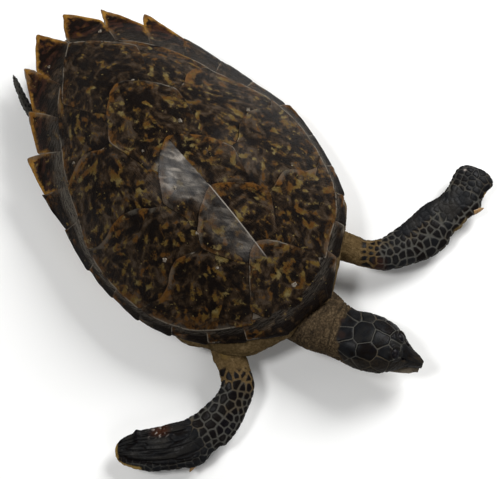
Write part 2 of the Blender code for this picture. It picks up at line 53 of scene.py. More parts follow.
# Where the seams between the marginal scutes meet the shell's edge, with +X outward, from beside
# the nuchal scute to the supracaudal, on the turtle's left (1) and on its right (-1).
RIM_SEAMS = {
    1: [
        (0.030, -0.224), (0.069, -0.194), (0.101, -0.171), (0.125, -0.143), (0.138, -0.107),
        (0.1475, -0.064), (0.1490, -0.012), (0.138, 0.033), (0.125, 0.076), (0.109, 0.123),
        (0.083, 0.168), (0.049, 0.204),
    ],
    -1: [
        (0.030, -0.224), (0.072, -0.199), (0.107, -0.172), (0.132, -0.137), (0.148, -0.099),
        (0.153, -0.059), (0.154, -0.016), (0.142, 0.036), (0.135, 0.084), (0.110, 0.127),
        (0.083, 0.168), (0.049, 0.204),
    ],
}
REAR_RIM_Y = 0.217
FRONT_RIM_Y = -0.222


def eased_step(value, low, high):
    """0 below low and 1 above high, with a smooth rise 3t^2 - 2t^3 between them."""
    share = np.clip((np.asarray(value, float) - low) / (high - low), 0.0, 1.0)
    return share * share * (3.0 - 2.0 * share)


def rim_radius(angle):
    """The outline as a radius at an angle from the rear, positive on the left: straight runs
    between the seam points, averaged over a few degrees so that they leave no corners."""
    degrees = np.degrees(np.asarray(angle, float))
    total = np.zeros_like(degrees)
    for offset, weight in ((-6.0, 0.1), (-3.0, 0.2), (0.0, 0.4), (3.0, 0.2), (6.0, 0.1)):
        spread = np.abs(np.abs(degrees) + offset)
        folded = np.where(spread > 180.0, 360.0 - spread, spread)
        for side, seams in RIM_SEAMS.items():
            places = np.array(seams[::-1]) - (0.0, SHELL_CENTRE_Y)
            keys = np.degrees(np.arctan2(places[:, 0], places[:, 1]))
            radii = np.hypot(places[:, 0], places[:, 1])
            keys = np.concatenate([[0.0], keys, [180.0]])
            ends = (REAR_RIM_Y - SHELL_CENTRE_Y, SHELL_CENTRE_Y - FRONT_RIM_Y)
            radii = np.concatenate([[ends[0]], radii, [ends[1]]])
            here = (degrees >= 0) == (side > 0)
            total += np.where(here, weight * np.interp(folded, keys, radii), 0.0)
    return total


def polar(x, y):
    """Angle from the rear, positive on the left, and share of the way out to the rim."""
    angle = np.arctan2(x, y - SHELL_CENTRE_Y)
    return angle, np.hypot(x, y - SHELL_CENTRE_Y) / rim_radius(angle)


def from_centre(angle, radius):
    """x and y at an angle from the rear and a radius from the shell's middle."""
    return radius * np.sin(angle), SHELL_CENTRE_Y + radius * np.cos(angle)


def on_shell(angle, share):
    """x and y at an angle from the rear and a share of the way out to the rim."""
    return from_centre(angle, share * rim_radius(angle))


def arch(x, y):
    """The shell's smooth top: it falls from the peak to the rim by the share of the way out
    raised to a power of about 2.2, plus a flare that turns up the last fifth of the way. The
    rim lies higher in front and behind than at the sides."""
    angle, share = polar(x, y)
    power = 2.2 - 0.1 * np.cos(2 * angle)
    rim = RIM_HEIGHT + 0.0075 * np.cos(2 * angle) - 0.0015 * np.cos(angle)
    flare = (0.003 + 0.006 * np.maximum(np.cos(angle), 0.0)) * eased_step(share, 0.78, 1.06)
    rise = 1.0 - np.minimum(share, 1.0) ** power - 0.45 * np.maximum(share - 1.0, 0.0)
    return rim + (PEAK_HEIGHT - rim) * rise + flare


KEEL_HEIGHT = 0.0028
KEEL_REACH = 0.022


def keel(x, y):
    """A low roof along the middle: its height times exp(-|x| / reach), whose ridge stays sharp.
    It fades out at both ends."""
    along = (y - SHELL_FRONT_Y) / SHELL_LENGTH
    grown = eased_step(along, 0.12, 0.30) * (1.0 - eased_step(along, 0.86, 0.95))
    return KEEL_HEIGHT * grown * np.exp(-np.abs(x) / KEEL_REACH)


def mottle(points, cell, seed=0):
    """Smooth noise from -1 to 1: seeded values on a lattice of this cell size, blended between
    the eight nearest by eased weights."""
    place = np.asarray(points, float) / cell
    base = np.floor(place).astype(np.int64)
    part = place - base
    part = part * part * (3.0 - 2.0 * part)
    total = np.zeros(place.shape[:-1])
    for corner in np.ndindex(2, 2, 2):
        at = base + np.array(corner)
        key = at[..., 0] * 73856093 ^ at[..., 1] * 19349663 ^ at[..., 2] * 83492791 ^ seed * 97531
        key = (key ^ key >> 13) * 1274126177 & 0x7FFFFFFF
        key = (key ^ key >> 15) & 0xFFFF
        weight = np.prod(np.where(corner, part, 1.0 - part), axis=-1)
        total += weight * (key / 32767.5 - 1.0)
    return total


def full_turn(count, start=-np.pi):
    """A row of angles right round, in equal steps."""
    return np.linspace(start, start + 2 * np.pi, count, endpoint=False)[None, :]


def closed_skin(rings, first, last, **values):
    """A closed skin over rings of points, shut by a fan at each end, as points, quads,
    triangles and the values at its points. The sum of a.(b x c) over its triangles says which
    way it faces, and its faces are turned if that is negative."""
    rows, count = rings.shape[:2]
    points = np.vstack([rings.reshape(-1, 3), [first], [last]])
    here = np.arange(count)
    following = (here + 1) % count
    row = np.arange(rows - 1)[:, None] * count
    quads = np.stack(
        [row + here, row + count + here, row + count + following, row + following], axis=-1
    ).reshape(-1, 4)
    bottom = (rows - 1) * count
    start = np.full(count, rows * count)
    triangles = np.vstack(
        [
            np.stack([start, here, following], axis=-1),
            np.stack([start + 1, bottom + following, bottom + here], axis=-1),
        ]
    )
    halves = np.vstack([quads[:, [0, 1, 2]], quads[:, [0, 2, 3]], triangles])
    a, b, c = points[halves[:, 0]], points[halves[:, 1]], points[halves[:, 2]]
    if np.einsum("ij,ij->", a, np.cross(b, c)) < 0:
        quads, triangles = quads[:, ::-1], triangles[:, ::-1]
    flat = {}
    for name, value in values.items():
        value = np.broadcast_to(value, (rows, count) + np.shape(value)[2:])
        ends = [value[0].mean(axis=0), value[-1].mean(axis=0)]
        flat[name] = np.concatenate([value.reshape((rows * count,) + value.shape[2:]), ends])
    return points, quads, triangles, flat


def add_piece(name, skins, material):
    """One smooth-shaded object made of closed skins, with their values as point attributes."""
    offsets = np.cumsum([0] + [len(skin[0]) for skin in skins])
    points = np.vstack([skin[0] for skin in skins])
    quads = np.vstack([skin[1] + offset for skin, offset in zip(skins, offsets)])
    triangles = np.vstack([skin[2] + offset for skin, offset in zip(skins, offsets)])
    corners = np.concatenate([quads.ravel(), triangles.ravel()])
    starts = np.concatenate(
        [np.arange(len(quads)) * 4, quads.size + np.arange(len(triangles)) * 3]
    )
    mesh = bpy.data.meshes.new(name)
    mesh.vertices.add(len(points))
    mesh.vertices.foreach_set("co", points.astype(np.float32).ravel())
    mesh.loops.add(len(corners))
    mesh.loops.foreach_set("vertex_index", corners.astype(np.int32))
    mesh.polygons.add(len(starts))
    mesh.polygons.foreach_set("loop_start", starts.astype(np.int32))
    for key in skins[0][3]:
        value = np.concatenate([skin[3][key] for skin in skins]).astype(np.float32)
        kind, field = ("FLOAT", "value") if value.ndim == 1 else ("FLOAT_VECTOR", "vector")
        mesh.attributes.new(key, kind, "POINT").data.foreach_set(field, value.ravel())
    mesh.update(calc_edges=True)
    mesh.validate()
    mesh.shade_smooth()
    mesh.materials.append(material)
    piece = bpy.data.objects.new(name, mesh)
    bpy.context.scene.collection.objects.link(piece)
    return piece


def add_node(tree, kind, inputs=None, **settings):
    """A shader node with its settings; an input given as a socket is linked, else it is set."""
    node = tree.nodes.new(kind)
    for name, value in settings.items():
        setattr(node, name, value)
    for key, value in (inputs or {}).items():
        if isinstance(value, bpy.types.NodeSocket):
            tree.links.new(value, node.inputs[key])
        else:
            node.inputs[key].default_value = value
    return node


def noise(tree, place, scale, detail=3.0, roughness=0.55, distortion=0.0):
    """A cloudy noise from about 0.25 to 0.75, with this many cells to the metre."""
    inputs = {
        "Vector": place, "Scale": scale, "Detail": detail, "Roughness": roughness,
        "Distortion": distortion,
    }
    return add_node(tree, "ShaderNodeTexNoise", inputs).outputs["Fac"]


def ramp(tree, factor, *stops):
    """A colour ramp: stops are (position, colour), or (position, grey)."""
    node = add_node(tree, "ShaderNodeValToRGB", {"Fac": factor})
    elements = node.color_ramp.elements
    while len(elements) < len(stops):
        elements.new(0.5)
    for element, (position, colour) in zip(elements, stops):
        element.position = position
        element.color = (*colour, 1.0) if isinstance(colour, tuple) else (colour,) * 3 + (1.0,)
    return node.outputs["Color"]


def blend(tree, factor, first, second, mode="MIX"):
    """First colour where the factor is 0 and second where it is 1."""
    node = add_node(tree, "ShaderNodeMix", data_type="RGBA", blend_type=mode)
    for index, value in ((0, factor), (6, first), (7, second)):
        if isinstance(value, bpy.types.NodeSocket):
            tree.links.new(value, node.inputs[index])
        else:
            node.inputs[index].default_value = (*value, 1.0) if index else value
    return node.outputs[2]


def maths(tree, operation, *values, clamp=False):
    """One step of arithmetic on sockets and numbers, held within 0 to 1 if clamp is set."""
    inputs = dict(enumerate(values))
    return add_node(
        tree, "ShaderNodeMath", inputs, operation=operation, use_clamp=clamp
    ).outputs[0]


def times(tree, *values, clamp=False):
    """The product of sockets and numbers."""
    product = values[0]
    for value in values[1:]:
        product = maths(tree, "MULTIPLY", product, value, clamp=clamp)
    return product


def plus(tree, start, *terms, clamp=False):
    """A start plus each term, given as (value, weight), times its weight."""
    for value, weight in terms:
        start = maths(tree, "MULTIPLY_ADD", value, weight, start, clamp=clamp)
    return start


def band(tree, value, low, high):
    """0 at low, 1 at high and smooth between, also where low is above high."""
    inputs = {"Value": value, "From Min": low, "From Max": high}
    node = add_node(tree, "ShaderNodeMapRange", inputs, interpolation_type="SMOOTHSTEP")
    return node.outputs["Result"]


def attribute(tree, name, output="Fac"):
    """A value that the mesh holds at its points."""
    return add_node(tree, "ShaderNodeAttribute", attribute_name=name).outputs[output]


def start_material(name, **constants):
    """A material with its Principled shader's constants set on the shader's own sockets."""
    material = bpy.data.materials.new(name)
    material.use_nodes = True
    shader = material.node_tree.nodes["Principled BSDF"]
    for key, value in constants.items():
        shader.inputs[key.replace("_", " ")].default_value = value
    return material, material.node_tree, shader


def finish_material(tree, shader, colour, roughness, height, depth):
    """Links what varies: the colour, the roughness, and a bump of this depth in metres."""
    tree.links.new(colour, shader.inputs["Base Color"])
    tree.links.new(roughness, shader.inputs["Roughness"])
    bump = add_node(tree, "ShaderNodeBump", {"Height": height, "Distance": depth, "Strength": 1.0})
    tree.links.new(bump.outputs["Normal"], shader.inputs["Normal"])


def speckle_group():
    """Dust and scuffs, shared by every dry surface: a mask of fine flecks and soft smears, and a
    fine grain for bumps. Coordinates are in metres."""
    group = bpy.data.node_groups.new("dust and scuffs", "ShaderNodeTree")
    for name, kind, way in (
        ("Place", "NodeSocketVector", "INPUT"),
        ("Fleck Scale", "NodeSocketFloat", "INPUT"),
        ("Amount", "NodeSocketFloat", "INPUT"),
        ("Dust", "NodeSocketFloat", "OUTPUT"),
        ("Grain", "NodeSocketFloat", "OUTPUT"),
    ):
        group.interface.new_socket(name, in_out=way, socket_type=kind)
    given = group.nodes.new("NodeGroupInput").outputs
    smear = noise(group, given["Place"], 55.0, detail=4.0, roughness=0.6, distortion=0.6)
    fleck = noise(group, given["Place"], given["Fleck Scale"], detail=2.0, roughness=0.7)
    soft = times(group, band(group, smear, 0.50, 0.78), 0.55)
    sharp = band(group, fleck, 0.66, 0.74)
    dust = times(group, maths(group, "ADD", soft, sharp), given["Amount"], clamp=True)
    grain = noise(group, given["Place"], 900.0, detail=3.0, roughness=0.6)
    result = group.nodes.new("NodeGroupOutput")
    group.links.new(dust, result.inputs["Dust"])
    group.links.new(grain, result.inputs["Grain"])
    return group


DUST = speckle_group()


def dusted(tree, place, fleck_scale, amount):
    """The dust group placed in a material: its Dust and Grain outputs."""
    node = add_node(tree, "ShaderNodeGroup", node_tree=DUST)
    tree.links.new(place, node.inputs["Place"])
    node.inputs["Fleck Scale"].default_value = fleck_scale
    node.inputs["Amount"].default_value = amount
    return node.outputs["Dust"], node.outputs["Grain"]


def object_place(tree):
    """The place on the piece, in metres."""
    return add_node(tree, "ShaderNodeTexCoord").outputs["Object"]


def vector_maths(tree, operation, inputs):
    """One step of arithmetic on vectors."""
    return add_node(tree, "ShaderNodeVectorMath", inputs, operation=operation).outputs[0]


def streak_group():
    """Streaks that run along a direction held by the surface: the mean of five noises taken at
    steps of Span along Ray, stretched to fill 0 to 1."""
    group = bpy.data.node_groups.new("streaks along a ray", "ShaderNodeTree")
    for name, kind in (("Place", "Vector"), ("Ray", "Vector"), ("Scale", "Float"), ("Span", "Float")):
        group.interface.new_socket(name, in_out="INPUT", socket_type="NodeSocket" + kind)
    group.interface.new_socket("Streaks", in_out="OUTPUT", socket_type="NodeSocketFloat")
    given = group.nodes.new("NodeGroupInput").outputs
    total = None
    for step in (-2.0, -1.0, 0.0, 1.0, 2.0):
        reach = times(group, given["Span"], step)
        shift = vector_maths(group, "SCALE", {0: given["Ray"], "Scale": reach})
        place = vector_maths(group, "ADD", {0: given["Place"], 1: shift})
        value = noise(group, place, given["Scale"], detail=2.0)
        total = value if total is None else maths(group, "ADD", total, value)
    result = group.nodes.new("NodeGroupOutput")
    group.links.new(plus(group, -1.5, (total, 0.8)), result.inputs["Streaks"])
    return group


STREAKS = streak_group()


def streaks(tree, place, ray, scale, span):
    """The streak group placed in a material: its Streaks output."""
    node = add_node(tree, "ShaderNodeGroup", node_tree=STREAKS)
    tree.links.new(place, node.inputs["Place"])
    tree.links.new(ray, node.inputs["Ray"])
    node.inputs["Scale"].default_value = scale
    node.inputs["Span"].default_value = span
    return node.outputs["Streaks"]


BONE_PALE = (0.145, 0.118, 0.090)
BONE_DARK = (0.050, 0.040, 0.030)
BONE_DUST = (0.24, 0.21, 0.17)


def bone_material():
    """Brown bone, mottled by a patchy noise and well dusted."""
    material, tree, shader = start_material("dusty bone", Specular_IOR_Level=0.15)
    place = object_place(tree)
    dust, grain = dusted(tree, place, 420.0, 0.8)
    patchy = noise(tree, place, 60.0, detail=5.0, roughness=0.65)
    colour = ramp(tree, patchy, (0.35, BONE_DARK), (0.62, BONE_PALE))
    colour = blend(tree, dust, colour, BONE_DUST)
    roughness = ramp(tree, patchy, (0.0, 0.65), (1.0, 0.9))
    finish_material(tree, shader, colour, roughness, maths(tree, "ADD", grain, patchy), 0.0006)
    return material


BONE_THICKNESS = 0.006
BONE_RIM_THICKNESS = 0.0045
BONE_BURIED = 0.0018
BONE_COLUMNS = 300


def bone_under(x, y):
    """The bone's ceiling: a wall's thickness under the arch, with a wedge under the marginals."""
    _, share = polar(x, y)
    wedge = 0.003 * eased_step(share, 0.78, 0.90) * (1.0 - eased_step(share, 0.93, 1.0))
    wall = BONE_THICKNESS + (BONE_RIM_THICKNESS - BONE_THICKNESS) * eased_step(share, 0.85, 1.0)
    return arch(x, y) - wall - wedge


def bone_skin():
    """Rings out over the top to just inside the rim and back in along the ceiling, which has low
    ribs. The top is buried 1.8 mm under the arch, and 0.7 mm among the marginals."""
    angle = full_turn(BONE_COLUMNS)
    out = np.concatenate([np.linspace(0.04, 0.90, 40), np.linspace(0.92, 0.985, 10)])[:, None]
    x, y = on_shell(angle, out)
    buried = BONE_BURIED - 0.0011 * eased_step(out, 0.86, 0.95)
    top = np.stack([x, y, arch(x, y) - buried], axis=-1)
    back = np.concatenate([np.linspace(0.985, 0.70, 16), np.linspace(0.66, 0.04, 14)])[:, None]
    x, y = on_shell(angle, back)
    place = np.stack([x, y, 0.0 * x], axis=-1)
    ribs = 0.0005 * np.cos(angle * 16.0) * eased_step(back, 0.35, 0.6)
    low = bone_under(x, y) + 0.0006 + ribs + 0.0003 * mottle(place, 0.012, 3)
    low = np.minimum(low, arch(x, y) - BONE_BURIED)
    under = np.stack([x, y, low], axis=-1)
    return closed_skin(
        np.vstack([top, under]),
        (0.0, SHELL_CENTRE_Y, PEAK_HEIGHT - BONE_BURIED),
        (0.0, SHELL_CENTRE_Y, PEAK_HEIGHT - BONE_THICKNESS),
    )


bone = add_piece("carapace_bone", [bone_skin()], bone_material())
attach(bone, "root")
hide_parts("carapace")

# ----------------------------------------------
# Keel scutes. Five horn plates down the middle, laid like roof tiles: each one's blunt rear point
# lies on the next. The horn is near-black and amber in flames that spread from each growth point.

# Half of each outline, front to rear, as (x, share of the shell's length, edge state). A state
# of 1 is a free edge that lies on its neighbour, -1 is an edge tucked under one.
KEEL_HALVES = [
    [(0.000, 0.012, -1), (0.030, 0.018, -1), (0.051, 0.078, 0), (0.036, 0.118, 0.3),
     (0.021, 0.160, 0.6), (0.011, 0.182, 1), (0.000, 0.192, 1)],
    [(0.000, 0.178, -1), (0.021, 0.158, -1), (0.036, 0.206, 0.2), (0.050, 0.258, 0.4),
     (0.042, 0.300, 1), (0.022, 0.334, 1), (0.008, 0.352, 1), (0.000, 0.357, 1)],
    [(0.000, 0.345, -1), (0.022, 0.322, -1), (0.038, 0.300, -1), (0.044, 0.345, 0.2),
     (0.051, 0.400, 0.4), (0.034, 0.462, 1), (0.014, 0.505, 1), (0.000, 0.520, 1)],
    [(0.000, 0.508, -1), (0.014, 0.493, -1), (0.034, 0.450, -1), (0.042, 0.530, 0.2),
     (0.050, 0.612, 0.4), (0.030, 0.677, 1), (0.010, 0.718, 1), (0.000, 0.724, 1)],
    [(0.000, 0.712, -1), (0.010, 0.706, -1), (0.030, 0.662, -1), (0.047, 0.740, 0.2),
     (0.056, 0.796, 0.4), (0.041, 0.842, 0.5), (0.021, 0.892, 0.5), (0.000, 0.937, 0.5)],
]
# For each scute from front to rear: how far past its tip its growth point lies, as a share of the
# shell's length, and how much amber it shows.
KEEL_GROWTH_PAST_TIP = [0.018, 0.018, 0.018, 0.018, 0.045]
KEEL_AMBER = [1.0, 1.0, 1.0, 1.0, 0.65]
SCUTE_THICKNESS = 0.0016
SCUTE_LIFT = 0.0014
SCUTE_TUCK = 0.005


def rounded_outline(corners, states, radius, count):
    """A closed outline through corners cut back by a radius and joined by quadratic curves,
    walked in equal steps from the middle of the first, with the edge states blended along it."""
    corners = np.asarray(corners, float)
    states = np.asarray(states, float)
    before = np.roll(corners, 1, axis=0) - corners
    after = np.roll(corners, -1, axis=0) - corners
    length_before = np.linalg.norm(before, axis=1, keepdims=True)
    length_after = np.linalg.norm(after, axis=1, keepdims=True)
    start = corners + before / length_before * np.minimum(radius, 0.45 * length_before)
    end = corners + after / length_after * np.minimum(radius, 0.45 * length_after)
    t = np.linspace(0.0, 1.0, 7)[None, :, None]
    curve = (1 - t) ** 2 * start[:, None] + 2 * t * (1 - t) * corners[:, None] + t**2 * end[:, None]
    points = np.roll(curve.reshape(-1, 2), -3, axis=0)
    along = np.roll(np.repeat(states, 7), -3)
    closed = np.vstack([points, points[:1]])
    walked = np.concatenate([[0.0], np.cumsum(np.linalg.norm(np.diff(closed, axis=0), axis=1))])
    steps = np.linspace(0.0, walked[-1], count, endpoint=False)
    outline = np.stack([np.interp(steps, walked, closed[:, k]) for k in (0, 1)], axis=-1)
    state = np.interp(steps, walked, np.append(along, along[0]))
    state = sum(np.roll(state, k) for k in range(-3, 4)) / 7
    return outline, state


def outline_normals(outline):
    """Unit normals of a closed outline, pointing away from its middle."""
    along = np.roll(outline, -1, axis=0) - np.roll(outline, 1, axis=0)
    normal = np.stack([along[:, 1], -along[:, 0]], axis=-1)
    normal /= np.linalg.norm(normal, axis=1, keepdims=True) + 1e-12
    doubled_area = np.sum(
        outline[:, 0] * np.roll(outline[:, 1], -1) - np.roll(outline[:, 0], -1) * outline[:, 1]
    )
    return normal * np.sign(doubled_area)


# The inner edge of the marginals: degrees from the rear, and the share of the way out there.
MARGINAL_SEAM = [
    (0, 0.935), (5, 0.845), (12, 0.820), (28, 0.812), (56, 0.818), (68, 0.865), (80, 0.905),
    (102, 0.938), (140, 0.940), (152, 0.918), (180, 0.905),
]


def marginal_seam(angle):
    """The share of the way out at an angle from the rear: straight runs between those points."""
    degrees, shares = zip(*MARGINAL_SEAM)
    return np.interp(np.abs(np.degrees(angle)), degrees, shares)


def edge_rounding(inset, bevel, thickness):
    """How far each face of a plate falls back at a distance inside its edge: a quarter of an
    ellipse, so that within the bevel the two faces close over half the thickness each."""
    return 0.5 * thickness * (1.0 - np.sqrt(1.0 - (1.0 - np.minimum(inset / bevel, 1.0)) ** 2))


# Where the rings next to a plate's edge lie, in bevels from it.
BEVEL_STEPS = np.array([0.0, 0.08, 0.25, 0.5, 0.8, 1.2, 1.8])
GROWTH_RING_SPACING = 0.0075
TIP_AMBER = 1.3


def growth_relief(x, y, growth, seed):
    """Height of the rings round a growth point, of the rays out of it and of a slow unevenness,
    with the direction away from that point."""
    dx, dy = x - growth[0], y - growth[1]
    away = np.hypot(dx, dy)
    dx, dy = dx / (away + 1e-6), dy / (away + 1e-6)
    flat = np.stack([x, y, np.full_like(x, seed * 0.1)], axis=-1)
    walked = away + 0.003 * mottle(flat, 0.02, seed + 9)
    ringed = np.cos(2 * np.pi * walked / GROWTH_RING_SPACING)
    rays = mottle(np.stack([dx, dy, np.full_like(x, seed)], axis=-1), 0.11, seed + 5)
    relief = 0.00005 * ringed + 0.00025 * rays * eased_step(away, 0.010, 0.04)
    return relief + 0.00050 * mottle(flat, 0.022, seed + 2), dx, dy


def scute_skin(corners, states, growth, seed, radius=0.005, thickness=SCUTE_THICKNESS,
               lift=SCUTE_LIFT, count=220, rings=22, ragged=0.0005, amber=1.0, grey=None,
               tooth=0.0, fibrous=0.0, tip=None):
    """A closed horn plate on the arch. Each point is a share of the way from the plate's middle
    to its outline. Its height above the arch is lift x state x share^4, plus growth rings round
    the growth point and rays out of it, less the rounding of the edge. Tucked edges reach
    further by the tuck. On the marginals, which are fibrous, the rays run along the rim
    instead, fibres fade and the tooth's colour grows from the seam outward, and more amber
    shows within 6 to 18 mm of a tooth's tip."""
    outline, state = rounded_outline(corners, states, radius, count)
    normal = outline_normals(outline)
    middle = outline.mean(axis=0)
    spot = np.column_stack([outline, np.full(count, seed * 0.1)])
    wander = mottle(spot, 0.0055, seed) + 1.6 * mottle(spot, 0.019, seed + 1)
    push = SCUTE_TUCK * np.clip(-state, 0.0, 1.0) + ragged * wander * np.clip(state + 0.3, 0.0, 1.0)
    outline = outline + normal * push[:, None]
    reach = np.maximum(np.einsum("ij,ij->i", outline - middle, normal), 0.004)
    bevel = 0.75 * thickness
    steps = BEVEL_STEPS * bevel
    outer = np.clip(1.0 - steps[:, None] / reach[None, :], 0.5, 1.0)
    inner = outer[-1][None, :] * np.linspace(1.0, 0.03, rings)[1:, None]
    share = np.concatenate([outer, inner])
    place = middle + (outline - middle)[None] * share[..., None]
    x, y = place[..., 0], place[..., 1]
    inset = (1.0 - share) * reach
    drop = edge_rounding(inset, bevel, thickness)
    base = arch(x, y) + lift * state * share**4
    relief, dx, dy = growth_relief(x, y, growth, seed)
    relief = relief * eased_step(inset, 0.0, 0.004) * (0.2 if tooth else 1.0)
    ridge = keel(x, y)
    top = base + relief + ridge - drop
    low = base + ridge - thickness + drop
    fibre = 0.0
    if fibrous:
        angle, out = polar(x, y)
        dx, dy = np.cos(angle), -np.sin(angle)
        seam = marginal_seam(angle)
        toward_edge = (out - seam) / (1.0 - seam)
        fibre = fibrous * (1.0 - eased_step(toward_edge, 0.25, 0.60))
        tooth = tooth * eased_step(toward_edge, 0.40, 0.75)
    if tip is not None:
        from_tip = np.hypot(x - tip[0], y - tip[1])
        amber = amber + TIP_AMBER * (1.0 - eased_step(from_tip, 0.006, 0.018))
    rise = (arch(x + dx * 0.002, y + dy * 0.002) - arch(x - dx * 0.002, y - dy * 0.002)) / 0.004
    ray = np.stack([dx, dy, rise], axis=-1)
    rings_up = np.stack([x, y, top], axis=-1)[::-1]
    rings_down = np.stack([x, y, low], axis=-1)[1:]

    def both(value):
        """A value over the upper rings, inward to outward, and then over the lower ones."""
        value = np.broadcast_to(value, share.shape + np.shape(value)[2:])
        return np.concatenate([value[::-1], value[1:]])

    return closed_skin(
        np.vstack([rings_up, rings_down]), rings_up[0].mean(axis=0), rings_down[-1].mean(axis=0),
        ray=both(ray), edge=both(inset), free=both(np.clip(state, 0.0, 1.0)[None, :]),
        amber=both(amber), grey=both(grey(x, y) if grey else 0.0), tooth=both(tooth),
        fibre=both(fibre), tint=both(0.5 + 0.5 * math.sin(seed * 2.4)),
    )


def along_shell(share):
    """y at a share of the shell's length, from its front."""
    return SHELL_FRONT_Y + SHELL_LENGTH * share


# Where the keel is rubbed silvery, partly a painted sheen: shares of the shell's length, with
# the width of the rubbing and its strength there.
RUB_AND_SHEEN_WIDTHS = [
    (0.148, 0.001), (0.169, 0.022), (0.225, 0.034), (0.278, 0.033), (0.325, 0.026), (0.363, 0.031),
    (0.427, 0.044), (0.480, 0.034), (0.512, 0.004),
]
RUB_AND_SHEEN_STRENGTHS = [
    (0.14, 0.0), (0.16, 0.35), (0.22, 0.45), (0.30, 0.45), (0.35, 0.40), (0.365, 0.85),
    (0.45, 1.0), (0.495, 0.8), (0.510, 0.0),
]


def keel_rub_and_sheen(x, y):
    """The rubbing, partly a painted sheen, on the second and third keel scutes: its strength from
    the keel out to a width that swells and closes along each scute, soft beyond it. The material
    keeps the right half."""
    along = (y - SHELL_FRONT_Y) / SHELL_LENGTH
    width = np.interp(along, *zip(*RUB_AND_SHEEN_WIDTHS))
    strength = np.interp(along, *zip(*RUB_AND_SHEEN_STRENGTHS))
    return strength * (1.0 - eased_step(np.abs(x) / width, 0.55, 1.15))


def keel_scutes():
    """Each half outline, run down the left and, mirrored, back up the right."""
    skins = []
    for index, half in enumerate(KEEL_HALVES):
        left = [(x, along_shell(s), state) for x, s, state in half]
        right = [(-x, y, state) for x, y, state in reversed(left[1:-1])]
        loop = np.array(left + right)
        tip = along_shell(half[-1][1])
        growth = (0.0, tip + KEEL_GROWTH_PAST_TIP[index] * SHELL_LENGTH)
        skins.append(
            scute_skin(loop[:, :2], loop[:, 2], growth, seed=11 + index, grey=keel_rub_and_sheen,
                       amber=KEEL_AMBER[index])
        )
    return skins


HORN_BLACK = (0.0030, 0.0012, 0.0004)
HORN_DARK = (0.0110, 0.0058, 0.0022)
HORN_BROWN = (0.0250, 0.0145, 0.0070)
HORN_GREY = (0.0450, 0.0310, 0.0200)
HORN_ORANGE = (0.0680, 0.0290, 0.0050)
HORN_AMBER = (0.0880, 0.0540, 0.0110)
HORN_STRAW = (0.1350, 0.1030, 0.0400)
HORN_RUST = (0.1150, 0.0470, 0.0070)
TOOTH_DARK = (0.0050, 0.0022, 0.0012)
TOOTH_MAROON = (0.0280, 0.0100, 0.0055)
TOOTH_AMBER = (0.2500, 0.1250, 0.0200)
HORN_DUST = (0.088, 0.077, 0.062)
# Slate, pewter and silver: the keel's rubbing, partly worn horn and partly a painted sheen.
HORN_SLATE_SHEEN = (0.026, 0.026, 0.028)
HORN_PEWTER_SHEEN = (0.080, 0.073, 0.066)
HORN_SILVER_SHEEN = (0.280, 0.250, 0.215)
HORN_LIP = (0.150, 0.130, 0.102)
RUB_AND_SHEEN_SLANT = 0.59


def horn_noises(tree, place):
    """The noises that the horn's layers share, moved by each scute's own tint so that no two
    scutes match: fine and broad streaks along its rays, and clouds of four sizes. The wear is
    fixed in place."""
    shift = vector_maths(tree, "SCALE", {0: (0.37, 0.71, 0.53), "Scale": attribute(tree, "tint")})
    own = vector_maths(tree, "ADD", {0: place, 1: shift})
    ray = attribute(tree, "ray", "Vector")
    swirl = add_node(tree, "ShaderNodeTexNoise", {"Vector": own, "Scale": 48.0, "Detail": 2.0})
    centred = vector_maths(tree, "SUBTRACT", {0: swirl.outputs["Color"], 1: (0.5, 0.5, 0.5)})
    bent_ray = vector_maths(tree, "MULTIPLY_ADD", {0: centred, 1: (6.0, 6.0, 2.0), 2: ray})
    return SimpleNamespace(
        fine=streaks(tree, own, ray, 850.0, 0.0012),
        broad=streaks(tree, own, bent_ray, 140.0, 0.0018),
        cluster=noise(tree, own, 42.0, detail=3.0),
        cloud=noise(tree, own, 58.0, detail=4.0, roughness=0.55, distortion=1.0),
        tone=noise(tree, own, 60.0, detail=3.0),
        blotch=noise(tree, own, 130.0, detail=4.0, roughness=0.55, distortion=1.0),
        wear=noise(tree, place, 170.0, detail=4.0, roughness=0.65),
    )


def flamed_horn(tree, noises):
    """Near-black horn, maroon within the teeth, with flames from orange through amber to straw.
    What shows is a weighted sum of clouds and streaks, raised by the scute's share of amber."""
    amber = attribute(tree, "amber")
    base = plus(tree, noises.cloud, (noises.fine, 0.12), (noises.broad, 0.30), (amber, 0.12))
    colour = ramp(
        tree, base, (0.72, HORN_BLACK), (0.82, HORN_DARK), (0.90, HORN_BROWN), (1.04, HORN_GREY)
    )
    inside = times(tree, attribute(tree, "tooth"), band(tree, noises.cloud, 0.30, 0.55))
    maroon = ramp(tree, noises.broad, (0.40, TOOTH_DARK), (0.62, TOOTH_MAROON))
    colour = blend(tree, inside, colour, maroon)
    warm = ramp(tree, noises.tone, (0.42, HORN_ORANGE), (0.53, HORN_AMBER), (0.66, HORN_STRAW))
    streaked = times(tree, noises.broad, 0.85)
    flame = plus(tree, streaked, (noises.cluster, 0.7), (noises.blotch, 0.9), (amber, 0.30))
    return blend(tree, band(tree, flame, 1.62, 1.90), colour, warm)


def stained_edges(tree, colour, noises):
    """Clear amber and rust a few millimetres wide along the teeth's edges, widest at their tips
    and broken by the wear, and patches of rust within 17 mm of the free edges."""
    edge = attribute(tree, "edge")
    filled = plus(tree, edge, (noises.wear, 0.010), (attribute(tree, "amber"), -0.0050))
    clear = times(tree, band(tree, filled, 0.0092, 0.0042), attribute(tree, "tooth"))
    glow = ramp(tree, noises.tone, (0.36, HORN_RUST), (0.56, TOOTH_AMBER))
    colour = blend(tree, clear, colour, glow)
    torn = band(tree, plus(tree, edge, (noises.blotch, 0.035)), 0.0270, 0.0170)
    patches = band(tree, noises.cluster, 0.44, 0.52)
    stain = times(tree, torn, attribute(tree, "free"), patches, 0.80)
    return blend(tree, stain, colour, HORN_RUST)


